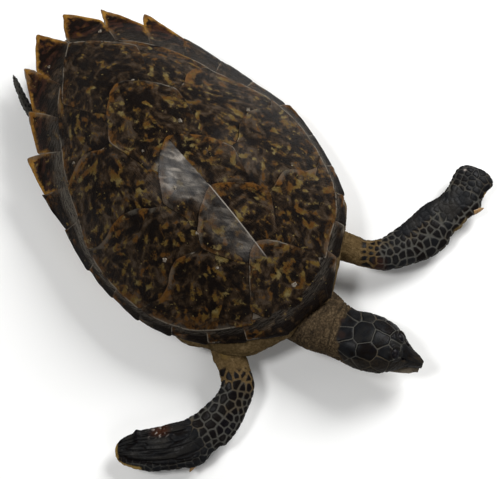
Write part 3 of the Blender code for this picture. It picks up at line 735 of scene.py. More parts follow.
def dusty_edges_and_shade(tree, colour, noises, place, dust):
    """Dust that gathers behind the free edges in places, the marginals' grey fibres, pale frayed
    lips about 2 mm wide, a black hairline of painted shade round each plate but the teeth, and
    straw flecks."""
    edge = attribute(tree, "edge")
    free = attribute(tree, "free")
    ragged = plus(tree, edge, (noises.wear, 0.010))
    drifts = band(tree, noise(tree, place, 27.0), 0.50, 0.58)
    near = times(tree, band(tree, ragged, 0.0115, 0.0075), free, drifts)
    dust = plus(tree, dust, (near, 0.55), clamp=True)
    colour = blend(tree, dust, colour, HORN_DUST)
    fringe = band(tree, noises.fine, 0.30, 0.70)
    fibre = times(tree, attribute(tree, "fibre"), fringe, clamp=True)
    colour = blend(tree, fibre, colour, HORN_DUST)
    frayed = band(tree, plus(tree, edge, (noises.wear, 0.0016)), 0.0030, 0.0020)
    half_free = times(tree, band(tree, free, 0.15, 0.5), band(tree, free, 1.06, 0.72))
    broken = band(tree, noise(tree, place, 34.0, detail=3.0), 0.42, 0.56)
    lip = times(tree, frayed, half_free, band(tree, noises.wear, 0.36, 0.48), broken, 0.85)
    colour = blend(tree, lip, colour, HORN_LIP)
    plain = band(tree, attribute(tree, "tooth"), 1.0, 0.0)
    # A black hairline of painted shade at each plate's edge, where its step would shade the plate
    # below.
    shade = times(tree, band(tree, edge, 0.0008, 0.0003), plain, 0.8)
    colour = blend(tree, shade, colour, HORN_BLACK)
    fleck = noise(tree, place, 230.0, detail=1.0)
    return blend(tree, band(tree, fleck, 0.755, 0.785), colour, HORN_STRAW), dust


def rubbed_and_sheened_keel(tree, colour, noises, place):
    """Silvery rubbing from slate to silver on the right of the keel, drawn out slantwise, partly worn
    horn and partly a painted sheen, and a pale line along its crest, rubbing and a painted
    highlight. The second result is where the keel is rubbed at all."""
    along = add_node(tree, "ShaderNodeSeparateXYZ", {"Vector": place}).outputs
    grey = attribute(tree, "grey")
    crossed = plus(tree, along["X"], (noises.wear, 0.0030))
    right = times(tree, grey, band(tree, crossed, 0.0018, 0.0010))
    rub = plus(tree, noise(tree, place, 40.0, detail=3.0), (noises.wear, 0.35))
    rub = times(tree, right, band(tree, rub, 0.44, 0.70), clamp=True)
    slant = add_node(
        tree, "ShaderNodeMapping",
        {"Vector": place, "Rotation": (0.0, 0.0, RUB_AND_SHEEN_SLANT), "Scale": (0.009, 0.028, 0.02)},
        vector_type="TEXTURE",
    ).outputs[0]
    sheen = noise(tree, slant, 1.0, detail=4.0, distortion=0.4)
    # The silver ramp is partly rubbed horn and partly a painted sheen.
    silver = ramp(tree, sheen, (0.36, HORN_SLATE_SHEEN), (0.50, HORN_PEWTER_SHEEN), (0.66, HORN_SILVER_SHEEN))
    colour = blend(tree, rub, colour, silver)
    # The pale crest line is rubbing and a painted highlight along the ridge.
    crest = band(tree, maths(tree, "ABSOLUTE", along["X"]), 0.0009, 0.0003)
    front = band(tree, along["Y"], -0.050, -0.058)
    crest = times(tree, crest, front, times(tree, grey, 2.0), clamp=True)
    return blend(tree, crest, colour, HORN_SILVER_SHEEN), right


def horn_material():
    """Dark horn in layers: amber flames, stained and clear edges, dust and fibres with painted shade
    at the plates' edges, and over all of them the keel's rubbing and painted sheen, which is
    glossier than the rest."""
    material, tree, shader = start_material(
        "tortoiseshell horn", Specular_IOR_Level=0.05, Coat_Roughness=0.30
    )
    place = object_place(tree)
    noises = horn_noises(tree, place)
    colour = stained_edges(tree, flamed_horn(tree, noises), noises)
    dust, grain = dusted(tree, place, 330.0, 0.06)
    colour, dust = dusty_edges_and_shade(tree, colour, noises, place, dust)
    colour, rubbed = rubbed_and_sheened_keel(tree, colour, noises, place)
    tree.links.new(plus(tree, 0.03, (rubbed, 0.30)), shader.inputs["Coat Weight"])
    roughness = plus(tree, 0.36, (dust, 0.35), (noises.wear, 0.25))
    height = plus(tree, times(tree, grain, 0.35), (noises.fine, 0.8), (noises.blotch, 0.8))
    finish_material(tree, shader, colour, roughness, height, 0.0008)
    return material


HORN = horn_material()
keel_piece = add_piece("keel_scutes", keel_scutes(), HORN)
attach(keel_piece, "root")
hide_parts("carapace")

# ----------------------------------------------
# Flank scutes. Four broad horn plates to a side between the keel's row and the marginals, lapped
# rearward like the keel's. Their growth points sit at the rear corner next to the keel.

# Points shared by neighbours, as (x, share of the shell's length), front to rear.
KEEL_SIDE = [
    [(0.051, 0.078), (0.036, 0.118), (0.021, 0.160), (0.036, 0.206), (0.050, 0.258)],
    [(0.050, 0.258), (0.041, 0.302), (0.038, 0.305), (0.044, 0.345), (0.051, 0.400)],
    [(0.051, 0.400), (0.034, 0.458), (0.042, 0.530), (0.050, 0.612)],
    [(0.050, 0.612), (0.031, 0.667), (0.047, 0.740), (0.056, 0.796), (0.045, 0.834)],
]
FLANK_REAR = [
    [(0.063, 0.272), (0.078, 0.286), (0.090, 0.276), (0.102, 0.256), (0.117, 0.250), (0.128, 0.264)],
    [(0.062, 0.410), (0.075, 0.441), (0.092, 0.458), (0.104, 0.460), (0.120, 0.452), (0.130, 0.456)],
    [(0.061, 0.616), (0.071, 0.638), (0.082, 0.645), (0.093, 0.640), (0.101, 0.634)],
]
# Where the flank scutes' outer ends lie on the seam inside the marginals, as angles from the
# rear in degrees: the front of the first, each rear edge's outer end, and the rear of the last.
FLANK_OUTER_ANGLES = [163.0, 119.5, 85.5, 55.0, 13.0]
# How far a scute runs under the marginals, as a share of the way out, and under the scute in
# front, as a share of the shell's length.
FLANK_UNDER_RIM = 0.012
FLANK_LAP = 0.006


def flank_scutes(side):
    """Each scute runs round its keel side, its rear edge, the marginal seam and, tucked, the
    rear edge of the scute in front."""
    skins = []
    for index in range(4):
        inner = [(x, s, -0.7) for x, s in KEEL_SIDE[index]]
        rear = [(x, s, 1.0) for x, s in FLANK_REAR[index]] if index < 3 else []
        front = [(x, s - FLANK_LAP, -1.0) for x, s in FLANK_REAR[index - 1]][::-1] if index else []
        loop = [(side * x, along_shell(s), state) for x, s, state in inner + rear]
        start, end = FLANK_OUTER_ANGLES[index + 1], FLANK_OUTER_ANGLES[index]
        turns = np.radians(np.linspace(start, end, 8)) * side
        x, y = on_shell(turns, marginal_seam(turns) + FLANK_UNDER_RIM)
        loop += [(px, py, 0.6) for px, py in zip(x, y)]
        loop += [(side * x, along_shell(s), state) for x, s, state in front]
        loop = np.array(loop)
        corner = KEEL_SIDE[index][-1]
        growth = (side * (corner[0] - 0.004), along_shell(corner[1] + 0.012))
        skins.append(scute_skin(loop[:, :2], loop[:, 2], growth, seed=31 + 5 * index + side))
    return skins


flank_piece = add_piece("flank_scutes", flank_scutes(1) + flank_scutes(-1), HORN)
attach(flank_piece, "root")
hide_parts("carapace")

# ----------------------------------------------
# Marginal scutes. A ring of thicker, rounded horn plates round the rim, near-black and dusty in
# front. Behind, each is maroon with an amber edge and runs out into a tooth that laps the next.

# How far each marginal's tooth stands out past its rear seam, outward and rearward.
TEETH = {
    1: {
        4: (0.0015, 0.001), 5: (0.001, 0.001), 6: (0.0045, -0.006), 8: (0.001, 0.002),
        9: (0.001, 0.004), 10: (0.011, 0.013), 11: (0.009, 0.0155),
    },
    -1: {
        7: (0.003, 0.003), 8: (0.004, 0.004), 9: (0.015, 0.005), 10: (0.005, 0.005),
        11: (0.009, 0.0155),
    },
}
SUPRACAUDAL_TIP = (0.020, 0.2445)
REAR_NOTCH = (0.0, 0.211)
NUCHAL_FRONT = [(0.016, -0.2235), (0.0, -0.2222), (-0.016, -0.2235)]
RIM_HORN_THICKNESS = 0.0036
# Points round each marginal's outline, and rings of them inside it.
RIM_COUNT = 130
RIM_RINGS = 9
# The first toothed marginal on each side.
FIRST_TOOTHED = {1: 10, -1: 9}
# How far a marginal's edge bows out between its seams, and the radii of its corners.
BOW = 0.0020
RIM_CORNER = 0.0035
TOOTH_CORNER = 0.0022
SUPRACAUDAL_CORNER = 0.0048
# How much amber shows in each marginal from front to rear, left and right, and how much grey
# fibre covers its inner part.
RIM_AMBER = {1: [-0.3, -0.4, -0.4, -0.4, -0.3, -0.2, -0.4, -0.4, -0.2, 0.2, 0.3, 0.3],
             -1: [-0.1, -0.1, -0.2, -0.3, -0.3, -0.2, 0.1, 0.2, 0.3, 0.3, 0.3, 0.3]}
RIM_FIBRE = {1: [0.4, 0.5, 0.5, 0.5, 0.6, 0.5, 0.3, 0.2, 0.2, 0.3, 0.2, 0.2],
             -1: [0.3, 0.4, 0.5, 0.6, 0.8, 1.2, 1.7, 1.7, 1.0, 0.5, 0.2, 0.2]}


def rim_plate(side, index):
    """Corners and states of one marginal, and its tooth's tip: from the front seam's inner end
    out along it, round the edge to the tip, back to the rear seam and in, and forward again
    along the inner edge."""
    seams = RIM_SEAMS[side]
    last = index == len(seams)
    start = np.array(seams[index - 1])
    end = np.array(REAR_NOTCH if last else seams[index])
    if last:
        tip = np.array(SUPRACAUDAL_TIP)
    else:
        tip = end + np.array(TEETH[side].get(index, (0.0, 0.0)))
    toothed = np.linalg.norm(tip - end) > 0.003
    angles = [math.atan2(p[0], p[1] - SHELL_CENTRE_Y) for p in (start, end)]
    turns = np.linspace(angles[0], angles[1], 4)
    x, y = on_shell(turns * side, marginal_seam(turns))
    inner = np.stack([x * side, y], axis=-1)
    centre = np.array([0.0, SHELL_CENTRE_Y])
    bowed = (start + tip) / 2
    bowed = bowed + (bowed - centre) / np.linalg.norm(bowed - centre) * BOW
    loop = [(*inner[0], -0.6), (*(0.6 * start + 0.4 * inner[0]), -0.5), (*start, -0.3), (*bowed, 0.0)]
    loop.append((*tip, 0.9))
    if toothed:
        loop.append((*(end + (tip - end) * 0.25), 0.9))
    loop += [(*(0.7 * end + 0.3 * inner[-1]), 0.6), (*inner[-1], 0.2)]
    loop += [(*point, -0.9) for point in inner[-2:0:-1]]
    loop = np.array(loop)
    loop[:, 0] *= side
    return loop, np.array([tip[0] * side, tip[1]])


def nuchal_skin():
    """The small plate over the neck, between the front ends of the two sides."""
    corner = RIM_SEAMS[1][0]
    turns = np.linspace(168.0, 192.0, 6)
    seam = marginal_seam(np.radians(np.minimum(turns, 360 - turns)))
    x, y = on_shell(np.radians(turns), seam)
    loop = [(corner[0] + 0.001, corner[1], 0.0), *((*point, 0.0) for point in NUCHAL_FRONT)]
    loop += [(-corner[0] - 0.001, corner[1], 0.0)]
    loop += [(px, py, -0.9) for px, py in zip(x[::-1], y[::-1])]
    loop = np.array(loop)
    return scute_skin(
        loop[:, :2], loop[:, 2], (0.0, -0.20), seed=60, thickness=RIM_HORN_THICKNESS,
        count=RIM_COUNT, rings=RIM_RINGS, lift=0.0006, amber=0.0, fibrous=0.3,
    )


def marginal_skin(side, index):
    """One marginal, whose growth point lies near its tip. The toothed ones are sharper at their
    corners, higher, more ragged and clear at the edge."""
    loop, tip = rim_plate(side, index)
    middle = loop[:, :2].mean(axis=0)
    look = dict(radius=RIM_CORNER, ragged=0.0005, lift=0.0009)
    if index >= FIRST_TOOTHED[side]:
        last = index == len(RIM_SEAMS[side])
        corner = SUPRACAUDAL_CORNER if last else TOOTH_CORNER
        look = dict(radius=corner, ragged=0.0009, lift=0.0012, tooth=1.0, tip=tip)
    return scute_skin(
        loop[:, :2], loop[:, 2], tip + (middle - tip) * 0.22, seed=70 + 3 * index + side,
        thickness=RIM_HORN_THICKNESS, count=RIM_COUNT, rings=RIM_RINGS,
        amber=RIM_AMBER[side][index - 1], fibrous=RIM_FIBRE[side][index - 1], **look,
    )


rim_skins = [nuchal_skin()]
for side in (1, -1):
    rim_skins += [marginal_skin(side, index) for index in range(1, len(RIM_SEAMS[side]) + 1)]
rim_piece = add_piece("rim_scutes", rim_skins, HORN)
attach(rim_piece, "root")
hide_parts("carapace")

# ----------------------------------------------
# Crusts. Pale, crumbly scars of barnacles and lime, a few millimetres across, grown fast to the
# horn here and there.

# Where the crusts sit, with +X on the turtle's left, and the radius of each.
CRUSTS = [
    (-0.0298, -0.0313, 0.0021), (-0.0428, -0.0830, 0.0022), (-0.0495, -0.1237, 0.0017),
    (0.0367, 0.1902, 0.0022), (-0.0359, 0.1964, 0.0018), (-0.0905, 0.0780, 0.0018),
    (0.0179, 0.1006, 0.0018), (0.0242, 0.0244, 0.0026), (0.0972, -0.0057, 0.0022),
    (-0.0289, 0.0248, 0.0014), (0.0062, -0.1893, 0.0028), (0.0925, -0.0867, 0.0014),
    (-0.0869, -0.0792, 0.0026),
]
CRUST_LIME = (0.230, 0.200, 0.160)
CRUST_SHADE = (0.060, 0.048, 0.034)


def crust_skin(x, y, radius, seed):
    """A lump half sunk in the horn: a flattened ball whose radius varies by a coarse noise."""
    turn = full_turn(22, start=0.0)
    fall = np.linspace(0.12, np.pi - 0.12, 13)[:, None]
    toward = np.stack(np.broadcast_arrays(
        np.sin(fall) * np.cos(turn), np.sin(fall) * np.sin(turn), 0.55 * np.cos(fall)
    ), axis=-1)
    reach = radius * (1.0 + 0.45 * mottle(toward + seed, 0.55, seed))
    middle = np.array([x, y, float(arch(x, y) + keel(x, y)) + 0.0003])
    grid = middle + toward * reach[..., None]
    return closed_skin(grid, grid[0].mean(axis=0), grid[-1].mean(axis=0))


def crust_material():
    """Crumbly lime, shaded in its pits by a fine noise."""
    material, tree, shader = start_material("lime crust", Specular_IOR_Level=0.1)
    place = object_place(tree)
    dust, grain = dusted(tree, place, 700.0, 0.6)
    crumbs = noise(tree, place, 520.0, detail=3.0)
    colour = ramp(tree, crumbs, (0.40, CRUST_SHADE), (0.62, CRUST_LIME))
    colour = blend(tree, dust, colour, CRUST_LIME)
    finish_material(tree, shader, colour, maths(tree, "ADD", dust, 0.7), grain, 0.0008)
    return material


crust_piece = add_piece(
    "lime_crusts", [crust_skin(*spot, seed=5 + index) for index, spot in enumerate(CRUSTS)],
    crust_material(),
)
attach(crust_piece, "root")
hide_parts("carapace")

# ----------------------------------------------
# Plastron. The lower shell: a shallow horn-covered dish, straw-coloured with dark smudges, flat
# where the turtle rests on it and turned up at the sides into the bridges.

# Degrees from the rear, and the radius there from the shell's middle.
PLASTRON_OUTLINE = [
    (0, 0.160), (18, 0.143), (35, 0.118), (52, 0.118), (68, 0.138), (90, 0.145), (108, 0.138),
    (122, 0.122), (140, 0.128), (158, 0.146), (180, 0.153),
]
PLASTRON_THICKNESS = 0.006
PLASTRON_BEVEL = 0.004
LOBE_RISE = 0.003
PLASTRON_STRAW = (0.330, 0.225, 0.095)
PLASTRON_BROWN = (0.130, 0.075, 0.028)
PLASTRON_DARK = (0.020, 0.014, 0.010)
PLASTRON_DUST = (0.30, 0.26, 0.20)
# Cross seams between the plastron's scutes, where they meet the middle line.
PLASTRON_SEAMS_Y = (-0.140, -0.098, -0.046, 0.014, 0.074)
PLASTRON_SIDE_SEAM_X = 0.088


def curve_through(at, keys, values):
    """A smooth curve through values at keys: cubic pieces whose slope at each key is the mean
    of those on its two sides."""
    keys, values = np.asarray(keys, float), np.asarray(values, float)
    slopes = np.gradient(values, keys, axis=0)
    at = np.clip(np.asarray(at, float), keys[0], keys[-1])
    piece = np.clip(np.searchsorted(keys, at, side="right") - 1, 0, len(keys) - 2)
    width = keys[piece + 1] - keys[piece]
    t = (at - keys[piece]) / width
    if values.ndim > 1:
        t, width = t[..., None], width[..., None]
    first, second = values[piece], values[piece + 1]
    bend = (2 * t**3 - 3 * t**2 + 1) * first + (3 * t**2 - 2 * t**3) * second
    lean = (t**3 - 2 * t**2 + t) * slopes[piece] + (t**3 - t**2) * slopes[piece + 1]
    return bend + lean * width


def plastron_radius(angle):
    """The outline as a radius at an angle from the rear: straight runs between its points."""
    keys, radii = zip(*PLASTRON_OUTLINE)
    return np.interp(np.abs(np.degrees(angle)), keys, radii)


def bridge(angle):
    """1 over the bridges at the turtle's sides, 0 in front and behind."""
    aside = np.abs(np.abs(np.degrees(angle)) - 88.0) / 40.0
    return 1.0 - eased_step(aside, 0.35, 1.0)


def plastron_height(angle, share):
    """Height of the outer face: 0 to under half way out, then up to the lobes' 3 mm, or at the
    bridges to just under the carapace."""
    x, y = from_centre(angle, plastron_radius(angle))
    under_bone = bone_under(x, y) - 0.0009 - PLASTRON_THICKNESS
    high = LOBE_RISE + (under_bone - LOBE_RISE) * bridge(angle)
    shoulder = 0.30 * bridge(angle) * high
    first = shoulder * np.clip((share - 0.45) / 0.30, 0.0, 1.0)
    second = (high - shoulder) * np.clip((share - 0.75) / 0.25, 0.0, 1.0)
    return first + second


def plastron_seam(x, y):
    """Distance in metres to the nearest seam between the plastron's scutes."""
    across = np.abs(x)
    best = np.abs(x + 0.0012 * np.sin(y * 130.0))
    for k, seam in enumerate(PLASTRON_SEAMS_Y):
        best = np.minimum(best, np.abs(y - seam - 0.010 * np.cos(across * 42.0 + k) + 0.008))
    lateral = np.abs(across - PLASTRON_SIDE_SEAM_X - 0.004 * np.sin(y * 60.0))
    return np.minimum(best, np.where(np.abs(y) < 0.095, lateral, 1.0))


def plastron_skin():
    """Rings out along the outer face and back in along the inner one, with the rounded edge
    between them. The outer face has grooves at the seams and a slow swell at the sides."""
    angle = full_turn(360)
    share = np.concatenate([np.linspace(0.03, 0.96, 60), [0.975, 0.985, 0.993, 0.998, 1.0]])
    share = share[:, None]
    x, y = from_centre(angle, share * plastron_radius(angle))
    place = np.stack([x, y, 0.0 * x], axis=-1)
    inset = (1.0 - share) * plastron_radius(angle)
    rounding = edge_rounding(inset, PLASTRON_BEVEL, PLASTRON_THICKNESS)
    seam = plastron_seam(x, y)
    groove = 0.0006 * (1.0 - eased_step(seam, 0.0, 0.0022))
    swell = 0.0004 * (1.0 + mottle(place, 0.03, 4))
    low = plastron_height(angle, share) + rounding + groove + swell * eased_step(share, 0.5, 0.8)
    high = plastron_height(angle, share) + PLASTRON_THICKNESS - rounding
    under = np.stack([x, y, low], axis=-1)
    over = np.stack([x, y, high], axis=-1)
    rings = np.vstack([under, over[-2::-1]])
    return closed_skin(
        rings, (0, SHELL_CENTRE_Y, 0.0), (0, SHELL_CENTRE_Y, PLASTRON_THICKNESS),
        seam=np.vstack([seam, seam[-2::-1]]),
    )


def plastron_material():
    """Straw-coloured horn clouded with brown, with dark smudges and dusty, browned seams."""
    material, tree, shader = start_material("plastron horn", Specular_IOR_Level=0.45)
    place = object_place(tree)
    dust, grain = dusted(tree, place, 300.0, 0.4)
    cloud = noise(tree, place, 24.0, detail=5.0, roughness=0.6, distortion=0.4)
    colour = ramp(tree, cloud, (0.40, PLASTRON_BROWN), (0.54, PLASTRON_STRAW))
    smudge = band(tree, noise(tree, place, 17.0, detail=3.0), 0.60, 0.68)
    colour = blend(tree, times(tree, smudge, 0.8), colour, PLASTRON_DARK)
    line = band(tree, attribute(tree, "seam"), 0.0022, 0.0004)
    colour = blend(tree, times(tree, line, 0.75), colour, PLASTRON_BROWN)
    colour = blend(tree, times(tree, dust, 0.6), colour, PLASTRON_DUST)
    roughness = plus(tree, 0.32, (cloud, 0.3))
    height = plus(tree, cloud, (grain, 0.5))
    finish_material(tree, shader, colour, roughness, height, 0.0006)
    return material


plastron_piece = add_piece("plastron_horn", [plastron_skin()], plastron_material())
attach(plastron_piece, "root")
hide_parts("plastron")

# ----------------------------------------------
# Body skin. Dried olive-tan hide, drawn into fine wrinkles, that closes the gap between the two
# halves of the shell and stands out in a web between the neck and the right flipper.

# Where the skin's lower edge meets the plastron, as a share of its radius, how far it stands off
# the two halves of the shell, and how much amber stains it.
SKIN_FOOT = 0.93
SKIN_CLEARANCE = 0.0004
BODY_AMBER = 0.15


def skin_fronting(angle):
    """1 over the front quarter, 0 along the sides and behind."""
    return eased_step(np.abs(np.degrees(angle)), 118.0, 140.0)


def skin_reach(angle):
    """Radius at which the skin meets the carapace."""
    loose = (0.84 + 0.10 * skin_fronting(angle)) * rim_radius(angle)
    at_bridge = SKIN_FOOT * plastron_radius(angle) - 0.003
    return loose + (at_bridge - loose) * bridge(angle)


def skin_bulge(angle):
    """Radius of the fold half way down. In front it stands out nearly to the rim, and in the
    web on the right past it."""
    foot = SKIN_FOOT * plastron_radius(angle)
    between = foot + (skin_reach(angle) - foot) * 0.55
    aside = np.abs(np.degrees(angle) + 157.0) / 15.0
    front = (0.99 + 0.06 * (1.0 - eased_step(aside, 0.0, 1.0))) * rim_radius(angle)
    return between + (front - between) * skin_fronting(angle)


def window(value, low, rise, fall, high):
    """1 between rise and fall, easing to 0 at low and high."""
    return eased_step(value, low, rise) * (1.0 - eased_step(value, fall, high))


def creases(place, cell, seed):
    """Narrow folds, 1 at their bottoms and 0 between them: 1 - 5 |n| of a smooth noise n."""
    return np.clip(1.0 - 5.0 * np.abs(mottle(place, cell, seed)), 0.0, 1.0)


def body_skin():
    """Rings from the top of the carapace's hollow, down the outside band and in over the
    plastron. The band's section is a quadratic curve through the fold, wrinkled by noise drawn
    out downward."""
    angle = full_turn(700)
    ceiling = np.array([0.1, 0.3, 0.5, 0.7])[:, None]
    x, y = on_shell(angle, ceiling)
    upper = np.stack([x, y, bone_under(x, y) - SKIN_CLEARANCE], axis=-1)
    reach, foot, fold = skin_reach(angle), SKIN_FOOT * plastron_radius(angle), skin_bulge(angle)
    high = bone_under(*from_centre(angle, reach)) - 0.0010
    low = plastron_height(angle, SKIN_FOOT) + PLASTRON_THICKNESS + SKIN_CLEARANCE
    t = np.linspace(0.0, 1.0, 70)[:, None]
    past = 2.0 * fold - 0.5 * (reach + foot)
    radius = (1 - t) ** 2 * reach + 2 * t * (1 - t) * past + t**2 * foot
    height = high + (low - high) * t
    place = np.stack([angle * 0.15 + 0 * t, height, 0.0 * radius], axis=-1)
    narrow = creases(place * (1.0, 0.4, 1.0), 0.0055, 8)
    folds = mottle(place * (1.0, 0.5, 1.0), 0.011, 9)
    fade = np.minimum(eased_step(t, 0.0, 0.12), 1.0 - eased_step(t, 0.9, 1.0))
    radius = radius - fade * (0.0009 * narrow + 0.0010 * folds)
    band_of_skin = np.stack([*from_centre(angle, radius), height], axis=-1)
    inward = np.array([0.78, 0.45, 0.15])[:, None] * plastron_radius(angle)
    share = inward / plastron_radius(angle)
    floor = plastron_height(angle, share) + PLASTRON_THICKNESS + SKIN_CLEARANCE
    lower = np.stack([*from_centre(angle, inward), floor], axis=-1)
    rings = np.vstack([upper, band_of_skin, lower])
    creased = np.zeros(rings.shape[:2])
    # The wrinkles' bottoms take the crease colour: painted shade.
    creased[len(upper):len(upper) + len(band_of_skin)] = 0.7 * narrow * fade
    top, bottom = PEAK_HEIGHT - 0.0065, PLASTRON_THICKNESS + SKIN_CLEARANCE
    return closed_skin(
        rings, (0, SHELL_CENTRE_Y, top), (0, SHELL_CENTRE_Y, bottom),
        seam=1.0, scaly=0.0, tint=creased, rust=0.0, amber=BODY_AMBER, pale=0.0,
    )


SKIN_TAN = (0.062, 0.042, 0.023)
SKIN_PALE = (0.120, 0.084, 0.046)
SKIN_DARK = (0.020, 0.014, 0.009)
# The crease colour: painted shade at the bottoms of wrinkles and folds.
SKIN_CREASE_SHADE = (0.0080, 0.0070, 0.0055)
SCALE_VIOLET = (0.0024, 0.0021, 0.0036)
SCALE_BLACK = (0.0042, 0.0028, 0.0022)
SCALE_SLATE = (0.0062, 0.0066, 0.0076)
SCALE_GREY = (0.0150, 0.0135, 0.0118)
SCALE_RUST = (0.0450, 0.0150, 0.0070)
HIDE_AMBER = (0.230, 0.150, 0.045)
HIDE_PALE = (0.300, 0.260, 0.230)
SEAM_PALE = (0.056, 0.054, 0.047)
SEAM_TAN = (0.060, 0.048, 0.032)
HIDE_DUST = (0.085, 0.078, 0.068)
SKIN_ROUGHNESS = (0.78, 0.78, 0.78)
SEAM_ROUGHNESS = (0.8, 0.8, 0.8)


def hide_material():
    """One hide for the skin and the scaled parts. Where the skin is bare it is a mealy mixture
    of tans, and tint paints shade into its creases. Where it is scaly, tint runs from violet-black
    to grey scales, the violet-black also serving as painted shade in folds and hollows, and their
    seams are pale, dusty and soft-edged. Rust, amber and pale are stained patches."""
    material, tree, shader = start_material(
        "dried hide", Specular_IOR_Level=0.03, Coat_Roughness=0.28
    )
    place = object_place(tree)
    seam = attribute(tree, "seam")
    scaly = attribute(tree, "scaly")
    tint = attribute(tree, "tint")
    dust, grain = dusted(tree, place, 480.0, 0.30)
    cloud = noise(tree, place, 70.0, detail=5.0, roughness=0.65)
    wide = noise(tree, place, 30.0)
    fine = noise(tree, place, 420.0, detail=2.0)
    mealy = plus(tree, times(tree, cloud, 0.50), (fine, 0.55))
    skin = ramp(tree, mealy, (0.38, SKIN_DARK), (0.54, SKIN_TAN), (0.68, SKIN_PALE))
    # Tint blends the bare skin toward the crease colour, which is painted shade.
    skin = blend(tree, tint, skin, SKIN_CREASE_SHADE)
    scale = ramp(
        tree, tint, (0.0, SCALE_VIOLET), (0.3, SCALE_BLACK), (0.6, SCALE_SLATE), (1.0, SCALE_GREY)
    )
    ragged = plus(tree, -0.0005, (noise(tree, place, 500.0), 0.0010))
    line = band(tree, maths(tree, "ADD", seam, ragged), 0.0018, 0.0002)
    line = maths(tree, "POWER", line, 1.7)
    gap = blend(tree, band(tree, wide, 0.50, 0.62), SEAM_PALE, SEAM_TAN)
    scaled = blend(tree, line, scale, gap)
    scaled = blend(tree, times(tree, dust, 0.10), scaled, HIDE_DUST)
    colour = blend(tree, scaly, skin, scaled)
    colour = blend(tree, times(tree, attribute(tree, "rust"), 0.8), colour, SCALE_RUST)
    colour = blend(tree, attribute(tree, "amber"), colour, HIDE_AMBER)
    colour = blend(tree, attribute(tree, "pale"), colour, HIDE_PALE)
    smooth = plus(tree, 0.30, (cloud, 0.25))
    roughness = blend(tree, scaly, SKIN_ROUGHNESS, smooth)
    roughness = blend(tree, times(tree, line, scaly), roughness, SEAM_ROUGHNESS)
    coated = times(tree, scaly, 0.07)
    gloss = times(tree, coated, band(tree, cloud, 0.35, 0.65))
    tree.links.new(gloss, shader.inputs["Coat Weight"])
    wrinkle = noise(tree, place, 260.0, detail=4.0, roughness=0.6, distortion=0.4)
    rough = blend(tree, scaly, wrinkle, times(tree, wrinkle, 0.35))
    height = plus(tree, rough, (grain, 0.25))
    finish_material(tree, shader, colour, roughness, height, 0.0012)
    return material


HIDE = hide_material()
skin_piece = add_piece("body_skin", [body_skin()], HIDE)
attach(skin_piece, "root")
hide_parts("trunk")

# ----------------------------------------------
# Head and neck. One hide over the skull: tan and ringed with wrinkles on the neck, then large
# black scales with pale seams on the head, a pale cheek, and the narrow, streaked horn beak.

HEAD_START = np.array([0.018, -0.262, 0.047])
HEAD_FORWARD = np.array([0.469, -0.883, 0.0])
HEAD_LEFT = np.array([0.883, 0.469, 0.0])
UP = np.array([0.0, 0.0, 1.0])
# The head is tipped about its line, its right side up, and the neck turns with it.
HEAD_ROLL = math.radians(16.0)
HEAD_SIDE = HEAD_LEFT * math.cos(HEAD_ROLL) - UP * math.sin(HEAD_ROLL)
HEAD_TOP = UP * math.cos(HEAD_ROLL) + HEAD_LEFT * math.sin(HEAD_ROLL)
# How far the middle of the neck's root lies under its crown.
NECK_ROOT_DROP = 0.018
# The neck from inside the body: place, half width, height above and below its line.
NECK = [
    (0.000, -0.190, 0.033, 0.041, 0.0175, 0.018), (0.005, -0.215, 0.036, 0.0395, 0.0190, 0.0215),
    (0.010, -0.238, 0.041, 0.0365, 0.0200, 0.0235), (0.015, -0.253, 0.045, 0.0325, 0.0205, 0.0245),
]
# The skull: distance forward, half width, height above and below its line.
SKULL = [
    (0.004, 0.0310, 0.0220, 0.0250), (0.022, 0.0335, 0.0265, 0.0240), (0.040, 0.0330, 0.0275, 0.0180),
    (0.055, 0.0288, 0.0255, 0.0130), (0.067, 0.0205, 0.0200, 0.0110), (0.079, 0.0110, 0.0130, 0.0105),
    (0.090, 0.0065, 0.0070, 0.0105), (0.0965, 0.0025, 0.0012, 0.0120),
]
# Centres of the head's scales: distance forward, and degrees round from the crown to the left.
HEAD_SCALES = [
    (0.0430, -6), (0.0214, -7), (0.0436, 24), (0.0187, 50), (0.0312, -39), (0.0535, -28),
    (0.0017, -18), (0.0093, -50), (-0.0043, 8), (0.0600, 12), (0.0606, -5), (0.0709, -7),
    (0.0010, 40), (0.0330, 62), (0.0500, 50), (0.0050, 76), (0.0220, 88), (0.0400, 88),
    (0.0305, -78), (0.0504, -62), (0.0208, -94), (0.0060, -84), (0.0420, -96), (0.0680, -62),
    (0.0640, 44), (0.0560, 84), (0.0100, 112), (0.0300, 116), (0.0100, -116), (0.0320, -122),
]
# The middle line of the head's scales, in degrees round from the crown.
HEAD_MIDDLE_DEGREES = -6.0
# Where the black scales of the crown give way to the pale cheek: distance forward, degrees.
CHEEK_EDGE = [
    (0.000, 66), (0.019, 60), (0.034, 51), (0.046, 38), (0.056, 44), (0.070, 40), (0.090, 46),
]
BEAK_START = 0.074
BEAK_END = 0.082
# The hollows before the eyes: distance forward, and degrees to each side of the head's middle.
HOLLOW_FORWARD = 0.0735
HOLLOW_ASIDE = 34.0
# The eyes, measured forward, to each side and up from the head's start.
EYE_FORWARD = 0.0600
EYE_ASIDE = 0.0095
EYE_RISE = 0.0165
EYE_RADIUS = 0.0070


def shares_walked(places):
    """How much of a path is walked at each of its places, as a share, and its whole length."""
    steps = np.linalg.norm(np.diff(places, axis=0), axis=1)
    walked = np.concatenate([[0.0], np.cumsum(steps)])
    return walked / walked[-1], walked[-1]


def heading(t, keys, places, step):
    """Unit direction of a path at a share t, between the places a step behind it and ahead."""
    ahead = curve_through(np.clip(t + step, 0, 1), keys, places)
    behind = curve_through(np.clip(t - step, 0, 1), keys, places)
    return (ahead - behind) / np.linalg.norm(ahead - behind, axis=-1, keepdims=True)


